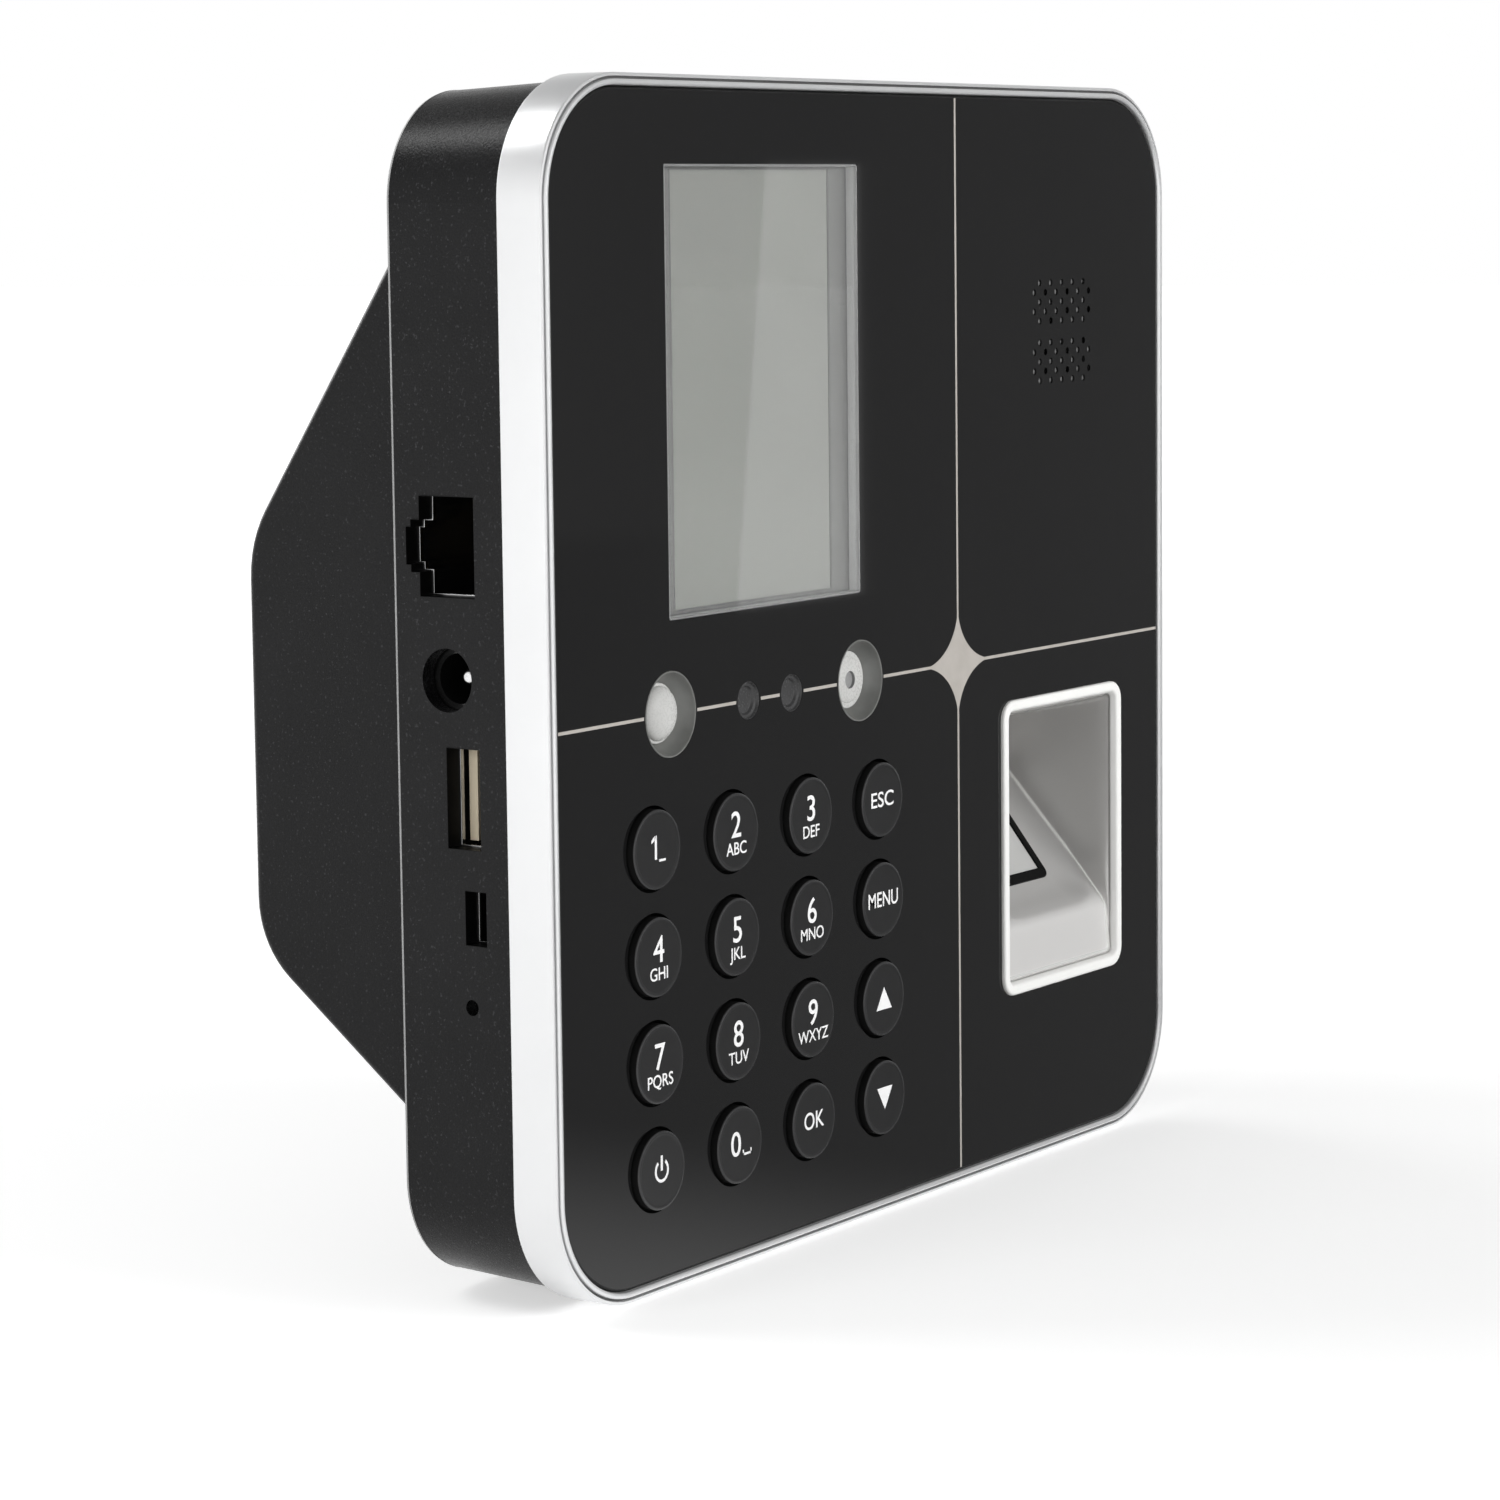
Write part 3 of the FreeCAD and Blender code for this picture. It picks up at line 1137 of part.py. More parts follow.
def usb_device_socket():
    """Small shell with a tongue in the middle of its pocket."""
    grow = 2 * USB_SHELL
    outer = side_box(SOCKET_X, SOCKET_X + MINI_LENGTH, MINI_HEIGHT, MINI_OPENING_DEPTH + grow, MINI_Z,
                     MINI_OPENING_WIDTH + grow)
    pocket = side_box(SOCKET_X - 1, SOCKET_X + MINI_POCKET, MINI_HEIGHT, MINI_OPENING_DEPTH, MINI_Z,
                      MINI_OPENING_WIDTH)
    tongue = side_box(SOCKET_X + MINI_TONGUE_THICKNESS, SOCKET_X + MINI_POCKET, MINI_HEIGHT,
                      MINI_TONGUE_THICKNESS, MINI_Z, MINI_OPENING_WIDTH - 2 * MINI_TONGUE_MARGIN)
    return join([outer.cut(pocket), tongue])


def reset_plunger():
    """Round plunger behind the pinhole."""
    start = SOCKET_X + SEAT_CLEARANCE
    end = start + RESET_PLUNGER_LENGTH
    return rod_x(start, end, BOARD_REAR + RESET_HEIGHT, RESET_Z, RESET_PLUNGER_RADIUS)


def reset_switch():
    """Switch body with a guide hole that leaves the plunger its travel."""
    front = SOCKET_X + SEAT_CLEARANCE + RESET_PLUNGER_LENGTH / 2
    hole_end = SOCKET_X + SEAT_CLEARANCE + RESET_PLUNGER_LENGTH + RESET_TRAVEL + PRESS_GAP
    height = RESET_HEIGHT + RESET_PLUNGER_RADIUS + RESET_BODY_MARGIN
    body = box(front, front + RESET_BODY_LENGTH, BOARD_REAR, BOARD_REAR + height,
               RESET_Z - RESET_BODY_WIDTH / 2, RESET_Z + RESET_BODY_WIDTH / 2)
    hole_radius = RESET_PLUNGER_RADIUS + RESET_FIT
    return body.cut(rod_x(front - 1, hole_end, BOARD_REAR + RESET_HEIGHT, RESET_Z, hole_radius))


def battery():
    """Flat pack taped to the inside of the pod's wall face."""
    back = WALL_FACE_DEPTH - HOUSING_WALL
    return slab(BATTERY_LENGTH / 2, BATTERY_WIDTH / 2, BATTERY_ROUND, back - BATTERY_THICKNESS, back,
                0, WALL_FACE_MIDDLE)


# Screws

def screw(x, z, seat, length, radius, head_radius, head_height):
    """Pan-head screw driven from the rear, with a cross in its head."""
    head = rod_y(x, z, seat, seat + head_height, head_radius)
    whole = join([head, rod_y(x, z, seat - length, seat, radius)])
    long = CROSS_LENGTH_FACTOR * head_radius
    short = CROSS_WIDTH_FACTOR * head_radius
    floor = seat + head_height / 2
    top = seat + head_height + 1
    return cut_all(whole, [
        box(x - long, x + long, floor, top, z - short, z + short),
        box(x - short, x + short, floor, top, z - long, z + long),
    ])


def corner_screws():
    return Part.makeCompound([
        screw(x, z, head_front(), CORNER_SCREW_LENGTH, CORNER_SCREW_RADIUS,
              CORNER_HEAD_RADIUS, CORNER_HEAD_HEIGHT)
        for x, z in corner_screw_centres()
    ])


def board_screws():
    length = BOARD_THICKNESS + BOARD_SCREW_GRIP
    return Part.makeCompound([
        screw(x, z, BOARD_REAR, length, BOARD_SCREW_RADIUS, BOARD_HEAD_RADIUS, BOARD_HEAD_HEIGHT)
        for x, z in board_screw_centres()
    ])


def small_screws():
    """Screws of the keypad board and the lamp board."""
    seat = KEYPAD_BOARD_DEPTH + KEYPAD_BOARD_THICKNESS
    length = KEYPAD_BOARD_THICKNESS + SMALL_SCREW_GRIP
    return Part.makeCompound([
        screw(x, z, seat, length, SMALL_SCREW_RADIUS, SMALL_HEAD_RADIUS, SMALL_HEAD_HEIGHT)
        for x, z in small_screw_centres()
    ])


def main():
    os.makedirs("parts", exist_ok=True)
    pieces = (
        front_bezel, side_housing, rear_cover, fascia, front_chassis,
        screen_window, lcd_panel, lcd_frame, flat_cables, keypad_board, key_switches,
        left_lamp_lens, right_lamp_lens, lamp_leds, camera_modules, lamp_board,
        reader_bezel, reader_seal, reader_prism, reader_module,
        speaker_cloth, speaker_basket, speaker_cone, speaker_magnet,
        main_board, board_components, network_socket, network_contacts, dc_socket, dc_pin,
        usb_host_shell, usb_host_tongue, usb_device_socket, reset_plunger, reset_switch,
        battery, corner_screws, board_screws, small_screws,
    )
    for piece in pieces:
        write(piece.__name__, piece())
    for name, x, z in key_centres():
        write(name, key(x, z))
    for side, lamp_x, camera_x in zip(("left", "right"), LAMP_X, CAMERA_X):
        write(f"{side}_lamp_reflector", lamp_reflector(lamp_x))
        write(f"{side}_camera_window", camera_window(camera_x))


main()
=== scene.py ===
"""Looks of a fingerprint scanner terminal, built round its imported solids."""
import json
import math

import bmesh
import bpy
import numpy as np
from bpy.props import FloatProperty, FloatVectorProperty, PointerProperty
from mathutils import Matrix, Vector

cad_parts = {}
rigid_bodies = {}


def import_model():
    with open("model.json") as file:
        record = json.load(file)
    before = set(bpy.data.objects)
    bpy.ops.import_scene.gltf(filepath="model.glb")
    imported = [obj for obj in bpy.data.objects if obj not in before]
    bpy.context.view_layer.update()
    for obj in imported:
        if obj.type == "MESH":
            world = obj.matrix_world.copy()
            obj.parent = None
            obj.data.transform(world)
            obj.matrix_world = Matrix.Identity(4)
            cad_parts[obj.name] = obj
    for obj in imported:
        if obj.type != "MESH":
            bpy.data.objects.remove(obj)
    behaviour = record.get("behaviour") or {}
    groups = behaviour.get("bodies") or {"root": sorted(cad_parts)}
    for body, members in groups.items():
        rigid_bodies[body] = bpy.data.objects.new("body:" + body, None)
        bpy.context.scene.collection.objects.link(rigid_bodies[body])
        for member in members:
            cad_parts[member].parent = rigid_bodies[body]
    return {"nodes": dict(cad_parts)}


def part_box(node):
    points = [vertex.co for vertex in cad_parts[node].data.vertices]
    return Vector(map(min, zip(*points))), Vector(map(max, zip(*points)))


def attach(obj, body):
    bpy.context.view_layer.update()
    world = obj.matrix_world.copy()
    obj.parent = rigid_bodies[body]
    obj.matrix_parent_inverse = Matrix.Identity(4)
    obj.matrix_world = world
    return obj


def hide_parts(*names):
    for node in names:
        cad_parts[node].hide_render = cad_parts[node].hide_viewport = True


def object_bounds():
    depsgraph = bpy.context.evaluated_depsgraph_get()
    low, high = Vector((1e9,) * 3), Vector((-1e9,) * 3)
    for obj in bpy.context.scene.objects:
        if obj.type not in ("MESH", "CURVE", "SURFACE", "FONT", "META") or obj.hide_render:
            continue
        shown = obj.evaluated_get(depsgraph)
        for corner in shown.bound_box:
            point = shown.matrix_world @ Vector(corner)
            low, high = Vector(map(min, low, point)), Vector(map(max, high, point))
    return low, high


bl_info = {
    "name": "Fingerprint Scanner Terminal",
    "version": (1, 0, 0),
    "blender": (4, 5, 0),
    "location": "3D View > Sidebar > Terminal",
    "description": "Builds the looks of a wall-mounted fingerprint scanner terminal",
    "category": "Object",
}

for leftover in list(bpy.data.objects):
    bpy.data.objects.remove(leftover)

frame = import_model()
CAD_BOX = [list(corner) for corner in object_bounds()]

# Places on the face are in millimetres from its middle, X to the right and Z up. Depths are in millimetres
# inwards from the front of the rim. A profile's corners are (across, depth, how far the corner is rounded).
MM = 0.001
FACE_LOW, FACE_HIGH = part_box("front_bezel")
FACE_HALF = (FACE_HIGH.x - FACE_LOW.x) / 2 / MM
FACE_CORNER = 15.5
ORIGIN = np.array([(FACE_LOW.x + FACE_HIGH.x) / 2, FACE_LOW.y, (FACE_LOW.z + FACE_HIGH.z) / 2])
FASCIA_DEPTH = (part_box("fascia")[0].y - FACE_LOW.y) / MM

# Rim and housing
RIM_WALL = 1.6
RIM_FRONT = 0.25
RIM_BACK = 6.9
GROOVE_INSET = 0.46
GROOVE_FLOOR = 0.8
LIP_INSET = 1.5
LIP_ROUND = 0.38
LIP_FOOT = (1.56, 0.75)
RIB_INSET = 3.2
RIB_FRONT = 4.5
RIB_BACK = 5.7
# Painted highlight: profile of a thin pale ring round the housing's rear edge
HOUSING_HIGHLIGHT_RING = ((1.8, 24.5, 0), (1.5, 24.5, 0.03), (1.62, 24.88, 0.05), (1.85, 24.95, 0))

# Printed lines
LINE_END = 73.95
CROSS = (17.9, -3.2)
STAR_POWER = 3.45
STAR_POINTS = 160
STAR_OVER_LINES = 0.004
PRINT_SUNK = 0.01

# Lamps and cameras
LAMP_X = (-50.5, -6.9)
LAMP_GAP = 5.75
LAMP_CUP = (
    (3.85, 4.5, 0), (5.45, 4.5, 0), (5.45, 3.4, 0), (6.55, 3.4, 0.1), (6.55, 2.4, 0.1), (5.45, 2.4, 0),
    (5.45, 0.36, 0.05), (5.25, 0.36, 0.06), (4.95, 1.6, 1.1), (3.85, 2.75, 0.2),
)
LENS_SEAT = 2.4
LENS_BASE = ((0.1, 3.4), (3.83, 3.4), (3.83, 2.5), (3.72, LENS_SEAT))
LEFT_LENS_RADIUS = 3.5
RIGHT_LENS_RADIUS = 3.15
RIGHT_LENS_PIT = ((0, 0), (-0.1, 0.35), (-0.8, 0.35))
PIT_ROWS = 2
LENS_TURN = np.linspace(math.pi / 2, 0.03, 14)
CAMERA_X = (-33.3, -23.35)
CAMERA_GAP = 2.8
CAMERA_WINDOW = (
    (0.2, 3.0, 0), (3.4, 3.0, 0), (3.4, 2.42, 0), (2.46, 2.42, 0), (2.46, 0.42, 0.05), (2.38, 0.42, 0.04),
    (2.25, 0.8, 0.1), (1.9, 0.85, 0.08), (1.7, 1.25, 0.12), (0.2, 1.3, 0),
)

# Keys
KEY_FIRST = (-54.97, -19.62)
KEY_PITCH = (17.32, 13.53)
KEY_RADIUS = 5.03
KEY_TOP = -0.5
KEY_SHOULDER = KEY_TOP + 0.27
# Width of the painted highlight on the keys' top chamfer
KEY_HIGHLIGHT_WIDTH = 0.4
KEY_PROFILE = (
    (2, 4.18, 0), (2, 3.3, 0), (5.88, 3.3, 0.1), (5.88, 2.5, 0.1), (KEY_RADIUS, 2.5, 0),
    (KEY_RADIUS, KEY_TOP, 0.28), (KEY_RADIUS - 0.42, KEY_TOP, 0.1), (KEY_RADIUS - 0.6, KEY_TOP + 0.05, 0.08),
    (0.2, KEY_TOP + 0.07, 0),
)

# Legends: a key is (name, words, figures). A word is (text, height, width share, rise, shift to the right)
# and a figure is its corners, both from the key's middle.
LEGEND_DEPTH = KEY_TOP + 0.055
LEGEND_THICKNESS = 0.03
LETTER_WEIGHT = 0.007
LETTER_EXTRUDE = 0.01
CAPITAL_HEIGHT = 0.62
DIGIT = (2.95, 1.02, 0.85)
GROUP = (1.42, 1.03, -2.15)
ARROW = ((-1.9, -1.45), (1.9, -1.45), (0, 1.6))
UNDERLINE = ((0.35, -1.55), (1.75, -1.55), (1.75, -1.25), (0.35, -1.25))
ONE = (((-0.55, -1.2), (-0.1, -1.2), (-0.1, 1.8), (-0.55, 1.8)),
       ((-1.25, 0.85), (-0.5, 1.25), (-0.3, 1.8), (-0.55, 1.8), (-1.25, 1.25)))
SPACE_SIGN = (((0.6, -1.5), (2.6, -1.5), (2.6, -1.2), (0.6, -1.2)),
              ((0.6, -1.5), (0.85, -1.5), (0.85, -0.75), (0.6, -0.75)),
              ((2.35, -1.5), (2.6, -1.5), (2.6, -0.75), (2.35, -0.75)))
POWER_BAR = ((-0.22, 0), (0.22, 0), (0.22, 1.95), (-0.22, 1.95))
POWER_RING = (1.12, 1.5)
POWER_OPENING = (125, 415)


def lettered(digit, letters):
    """Key with a digit above its letters."""
    return digit, ((digit, *DIGIT), (letters, *GROUP)), ()


KEY_ROWS = (
    (("1", (), (*ONE, UNDERLINE)), lettered("2", "ABC"), lettered("3", "DEF"),
     ("esc", (("ESC", 1.8, 1.22, 0),), ())),
    (lettered("4", "GHI"), lettered("5", "JKL"), lettered("6", "MNO"),
     ("menu", (("MENU", 1.8, 0.95, 0),), ())),
    (lettered("7", "PQRS"), lettered("8", "TUV"), lettered("9", "WXYZ"), ("up", (), (ARROW,))),
    (("power", (), (POWER_BAR,)), ("0", (("0", 2.8, 1.08, 0.1, -0.9),), SPACE_SIGN),
     ("ok", (("OK", 2.0, 1.0, 0),), ()), ("down", (), (tuple((x, -z) for x, z in ARROW),))),
)

# Screen
SCREEN_MIDDLE = (-28.55, 36.75)
SCREEN_HALF = (21.95, 28.25)
LINING = ((0, 2.38, 0), (0, 0.45, 0.03), (0.22, 0.45, 0.05), (0.28, 2.38, 0))
LINING_GAP = 0.02
LINING_CORNER = 0.4
BORDER_DEPTHS = (2.33, 2.41)
INNER_LINE = (0.3, 2.35, 2.41)
OUTER_LINE = (0.6, 2.31, 2.34)
# Faces of the screen's lining whose normal leans less than this along X take its painted shade
LINING_SIDEWAYS = 0.8
INWARD = np.array([1, -1, 1, -1])
PANE = ((0.05, 0.95), (0.0, 0.9), (0.0, 0.46), (0.05, 0.41))
PANE_GAP = 0.12
PANE_CORNER = 0.3

# Reader
READER_MIDDLE = (46, -30.85)
READER_HALF = (16.75, 21.05)
READER_CORNER = 2.8
READER_COLUMNS = {"arc": 7, "side": 34}
READER_RIM = (
    (0.95, 0.42, 0), (0, 0.42, 0.05), (0, -0.2, 0.5), (1.4, -0.2, 0.4), (1.8, 0.7, 0.1), (1.82, 1.35, 0),
    (2.08, 1.35, 0), (2.1, 0.95, 0),
)
RIM_ROWS_IN_SATIN = 4
WALL_ROWS = 8
CREASE_ROWS = 5
FLOOR_ROWS = 21
MOUTH_HALF = (14.65, 18.95)
MOUTH_CORNER = 0.7
WALL_TOP = 0.95
FOOT_BETWEEN = (0.97, 30.0)
FOOT_HALVINGS = 30
SIDE_TAPER = math.tan(math.radians(6.85))
CEILING_FALL = math.tan(math.radians(11.3))
FLOOR_LEAN = math.radians(37.95)
LEDGE_TOP = (1.5, -42.6)
LEDGE_BEND = 0.5
LEDGE_TURN = 0.674
# Painted highlight on the reader's ledge: the span about its top edge, its paler colour and its lower
# metalness
LEDGE_HIGHLIGHT_SPAN = (2.2 * MM, -0.4 * MM)
LEDGE_HIGHLIGHT_COLOUR = (0.72, 0.712, 0.7)
LEDGE_HIGHLIGHT_METAL = 0.25
CREASE = 0.35
SENSOR_HALF = (7.5, 9.6)
SENSOR_CORNER = 1.3
SENSOR_ALONG = 16.35
DISH_DEPTH = 1.5
DISH_REACH = 6.2
SEAT_DEPTH = DISH_DEPTH + 1.4
TUB_BACK = DISH_DEPTH + 1.6
TUB_BACK_WIDER = 2.4
TUB_WALL = 1.1
TUB_FOOT = 1.5
SEAL = (
    (-0.05, 3.0, 0), (-0.05, 1.3, 0.2), (1.5, 1.25, 0.2), (1.5, 1.49, 0), (1.1, 1.49, 0), (1.1, 3.0, 0),
)
SEAL_HALF = (7.4, 9.5)
SEAL_CORNER = 1.2

# Speaker
SPEAKER_X = 46.65
SPEAKER_ROWS = (45.8, 37.4)
SPEAKER_COUNTS = (5, 6, 5, 6, 5)
SPEAKER_PITCH = (3.05, 1.34)
CLOTH_BACK = 2.6
CLOTH_GAP = 0.02
CLOTH_SAG = 1.5
CLOTH_SAG_FROM = 0.55
CLOTH_WAVES = (7.3, 11.9)
CLOTH_DOME = ((1, 0.1), (0.85, 0.03), (0.4, 0))

# Sockets in the side wall, X from the face's middle: (piece, Z, (half width, front, back), narrower steps at
# the back as (half width, back))
SOCKET_FRONT = -72.14
WALL_OUTSIDE = -75.2
SOCKET_OPENINGS = (
    ("network_trim", 18.9, (6.2, 11.9, 20.4), ((3.25, 21.75), (2.35, 22.5))),
    ("usb_host_trim", -11.93, (6.25, 11.6, 16.8), ()),
    ("usb_device_trim", -26.6, (3.4, 10.96, 14.31), ()),
)
TRIM_FRONT = WALL_OUTSIDE + 0.25
TRIM_BACK = SOCKET_FRONT + 0.3
TRIM_LIP = SOCKET_FRONT - 0.35
TRIM_SKIN = 0.055

# Stage, in metres and degrees
LAMPS = (
    ("left_lamp", (-1.4, 0.2, 0.18), 11.2, 0.9),
    ("front_lamp", (0.45, -1.45, 0.15), 25, 0.9),
    ("top_lamp", (-0.42, 0.73, 1.03), 3.4, 0.4),
    ("rear_lamp", (0.2, 1.4, 0.6), 6, 0.9),
)
UNREFLECTED_LAMPS = ("left_lamp", "front_lamp")
FLOOR_SIDE = 12
FLOOR_GAP = 0.0003
FLOOR_FADE = (0.1, 2.0)
FLOOR_GLOW = (0.5, 1.0)
CEILING_HEIGHT = (0.15, 0.7)
CEILING_LEVEL = (1.0, 0.35)
CARD_LIFT = 0.0002
CARD_TOP = 0.9
CARD_NEAR = (-0.08, -0.0505)
CARD_LEFT = (0.35, -1.3)
CARD_RIGHT = (1.6, -0.35)
CARD_FADE = ((-0.08, 0.03), (-1.3, -0.75))
DARK_CARD_LEVEL = 0.2
SHEEN_ON_GLASS = ((-28.0, 65), (-6.6, 65), (-6.6, 8.5), (-35.7, 8.5))
SHEEN_GLASS_DEPTH = 0.41
SHEEN_REACH = 1.3
SHEEN_LEVEL = 0.95
CAMERA_PLACE = (-0.4786, -0.3536, 0.0653)
CAMERA_TURN = (54.64, -6.2, -0.77)
CAMERA_LENS = 101.8
CAMERA_SHIFT = (0.05, -0.05)
CAMERA_CLIP = 0.01

# Finishes of the parts that keep their CAD shape: (finish, pale colour, dark colour, roughness, more, nodes).
# One number for a colour makes a grey.
INSIDE_FINISHES = (
    ("inner_black", (0.03, 0.03, 0.032), (0.02, 0.02, 0.022), 0.5, {"patch": 0.01},
     ("front_chassis", "reader_module")),
    ("steel", (0.65, 0.65, 0.66), (0.5, 0.5, 0.51), 0.3, {"metal": 1.0, "patch": 0.004}, ("speaker_basket",)),
    ("screw_steel", (0.2, 0.2, 0.21), (0.12, 0.12, 0.13), 0.4, {"metal": 0.9, "patch": 0.002},
     ("corner_screws", "board_screws", "small_screws")),
    ("component_black", 0.03, 0.02, 0.55, {"patch": 0.003},
     ("camera_modules", "key_switches", "board_components", "reset_switch")),
    ("board_green", (0.02, 0.11, 0.05), (0.015, 0.08, 0.04), 0.45, {"patch": 0.004},
     ("keypad_board", "lamp_board", "main_board")),
    ("flat_cable", (0.5, 0.35, 0.15), (0.42, 0.29, 0.12), 0.4, {"patch": 0.003}, ("flat_cables",)),
    ("battery_wrap", (0.05, 0.12, 0.3), (0.04, 0.1, 0.25), 0.4, {"patch": 0.01}, ("battery",)),
    ("cone_paper", 0.06, 0.04, 0.8, {"patch": 0.001}, ("speaker_cone",)),
    ("magnet", (0.25, 0.25, 0.26), (0.18, 0.18, 0.19), 0.4, {"metal": 0.8}, ("speaker_magnet",)),
    ("speaker_cloth", 0.16, 0.08, 0.9, {"patch": 0.0003}, ("speaker_cloth",)),
    ("prism_glass", (0.55, 0.55, 0.54), (0.5, 0.5, 0.49), 0.12, {"patch": 0.01}, ("reader_prism",)),
    ("lens_white", (0.75, 0.75, 0.74), (0.7, 0.7, 0.69), 0.3, {"patch": 0.002}, ("lamp_leds",)),
)
SOCKET_FINISHES = (
    ("socket_black", 0.012, 0.008, 0.15, {"patch": 0.005}, ("network_socket", "dc_socket")),
    # Painted shade: the USB sockets' steel shells are near black, for the shade inside the sockets
    ("socket_painted_shade", 0.02, 0.012, 0.3, {"metal": 0.4, "patch": 0.004},
     ("usb_host_shell", "usb_device_socket")),
    ("contact_gold", (0.75, 0.5, 0.2), (0.65, 0.42, 0.16), 0.3, {"metal": 1.0}, ("network_contacts",)),
    ("pin_chrome", 0.7, 0.6, 0.15, {"metal": 1.0, "patch": 0.002}, ("dc_pin",)),
    ("tongue_cream", (0.75, 0.66, 0.5), (0.68, 0.59, 0.44), 0.35, {}, ("usb_host_tongue",)),
    ("plunger_white", 0.3, 0.25, 0.4, {}, ("reset_plunger",)),
)


# Materials

def node(tree, kind, inputs=None, **settings):
    """New shader node of a kind, with its settings and inputs."""
    made = tree.nodes.new("ShaderNode" + kind)
    for name, setting in settings.items():
        setattr(made, name, setting)
    feed(made, inputs or {})
    return made


def feed(made, inputs):
    """Gives a node's inputs their values, or the sockets that feed them."""
    for key, value in inputs.items():
        if isinstance(value, bpy.types.NodeSocket):
            made.id_data.links.new(value, made.inputs[key])
        else:
            made.inputs[key].default_value = value


def new_material(name):
    """Empty material with a Principled shader; returns the material, its node tree and the shader."""
    material = bpy.data.materials.new(name)
    material.use_nodes = True
    tree = material.node_tree
    tree.nodes.clear()
    shader = node(tree, "BsdfPrincipled")
    node(tree, "OutputMaterial", {"Surface": shader.outputs[0]})
    return material, tree, shader


def show(tree, shader):
    """Makes a shader node the surface of its material."""
    feed(tree.nodes["Material Output"], {"Surface": shader.outputs[0]})


def noise_on_object(tree, size, detail):
    """Noise whose features measure about size, in metres, on the piece's own Object coordinates."""
    place = node(tree, "TexCoord").outputs["Object"]
    return node(tree, "TexNoise", {"Vector": place, "Scale": 1 / size, "Detail": detail}).outputs["Fac"]


def axes(tree, coordinates="Object"):
    """The X, Y and Z of the coordinates, each on its own."""
    return node(tree, "SeparateXYZ", {0: node(tree, "TexCoord").outputs[coordinates]}).outputs


def carried_over(tree, value, span, to, steps="LINEAR"):
    """A value carried from one span to another."""
    names = ("Value", "From Min", "From Max", "To Min", "To Max")
    inputs = dict(zip(names, (value, *span, *to)))
    return node(tree, "MapRange", inputs, interpolation_type=steps).outputs["Result"]


def combined(tree, operation, *values):
    """Values combined one after another by a Math operation, such as MAXIMUM."""
    whole = values[0]
    for value in values[1:]:
        whole = node(tree, "Math", {0: whole, 1: value}, operation=operation).outputs[0]
    return whole


def seen_by(tree, *rays):
    """1 for rays of these kinds and 0 for others."""
    path = node(tree, "LightPath")
    return combined(tree, "MAXIMUM", *(path.outputs["Is " + ray + " Ray"] for ray in rays))


def mix_over(tree, share, target, colour):
    """Mixes a colour over what feeds a colour socket, or over the socket's own colour."""
    under = target.links[0].from_socket if target.is_linked else target.default_value
    mix = node(tree, "Mix", {0: share, 6: under, 7: (*colour, 1)}, data_type="RGBA")
    tree.links.new(mix.outputs[2], target)


def shades(colour, share):
    """A colour, and the darker one that it drifts to."""
    light = np.array(colour)
    return light, light * share


def finish(name, light, dark, rough, spread=0.04, metal=0.0, patch=0.02, grain=0.0, grain_size=0.0003,
           ior=1.5):
    """Surface whose colour drifts from dark to light in soft patches, whose roughness varies by spread
    about rough, and whose fine grain stands grain metres high. One number for a colour makes a grey."""
    material, tree, shader = new_material(name)
    ramp = node(tree, "ValToRGB", {"Fac": noise_on_object(tree, patch, 3.0)})
    for element, position, colour in zip(ramp.color_ramp.elements, (0.25, 0.75), (dark, light)):
        element.position = position
        element.color = (*np.broadcast_to(colour, 3), 1)
    fine = noise_on_object(tree, grain_size, 2.0)
    roughness = carried_over(tree, fine, (0.3, 0.7), (rough - spread, rough + spread))
    feed(shader, {"Base Color": ramp.outputs["Color"], "Roughness": roughness, "Metallic": metal, "IOR": ior})
    if grain:
        feed(shader, {"Normal": node(tree, "Bump", {"Distance": grain, "Height": fine}).outputs["Normal"]})
    return material


def add_specks(material, colour, size, share):
    """Scatters small specks of a colour over a finish; share is how high the noise must stand."""
    tree = material.node_tree
    picked = carried_over(tree, noise_on_object(tree, size, 1.0), (share, share + 0.05), (0, 1))
    mix_over(tree, picked, tree.nodes["Principled BSDF"].inputs["Base Color"], colour)


def paint_ledge_highlight(material):
    """Paints a highlight on the reader's ledge: turns a finish paler and less metallic there, by a smooth
    step over its top edge.
    """
    tree = material.node_tree
    shader = tree.nodes["Principled BSDF"]
    top = ORIGIN[2] + LEDGE_TOP[1] * MM
    near = carried_over(tree, axes(tree)["Z"], [top + reach for reach in LEDGE_HIGHLIGHT_SPAN], (0, 1), "SMOOTHSTEP")
    mix_over(tree, near, shader.inputs["Base Color"], LEDGE_HIGHLIGHT_COLOUR)
    metal = shader.inputs["Metallic"].default_value
    feed(shader, {"Metallic": carried_over(tree, near, (0, 1), (metal, LEDGE_HIGHLIGHT_METAL))})


def clear_glass(name, light, dark):
    """Clear glass that lets the lamps' light pass to what lies behind it."""
    material = finish(name, light, dark, 0.02, 0.004, grain_size=0.02)
    tree = material.node_tree
    shader, clear = tree.nodes["Principled BSDF"], node(tree, "BsdfTransparent")
    feed(shader, {"Transmission Weight": 1.0})
    parts = {0: seen_by(tree, "Shadow"), 1: shader.outputs[0], 2: clear.outputs[0]}
    show(tree, node(tree, "MixShader", parts))
    return material


def dress(node_names, material):
    """Gives CAD nodes a finish."""
    for name in node_names:
        mesh = frame["nodes"][name].data
        mesh.materials.clear()
        mesh.materials.append(material)


def dress_from(table):
    """Gives CAD nodes the finishes of a table."""
    for name, light, dark, rough, more, node_names in table:
        dress(node_names, finish(name, light, dark, rough, **more))


# Surfaces

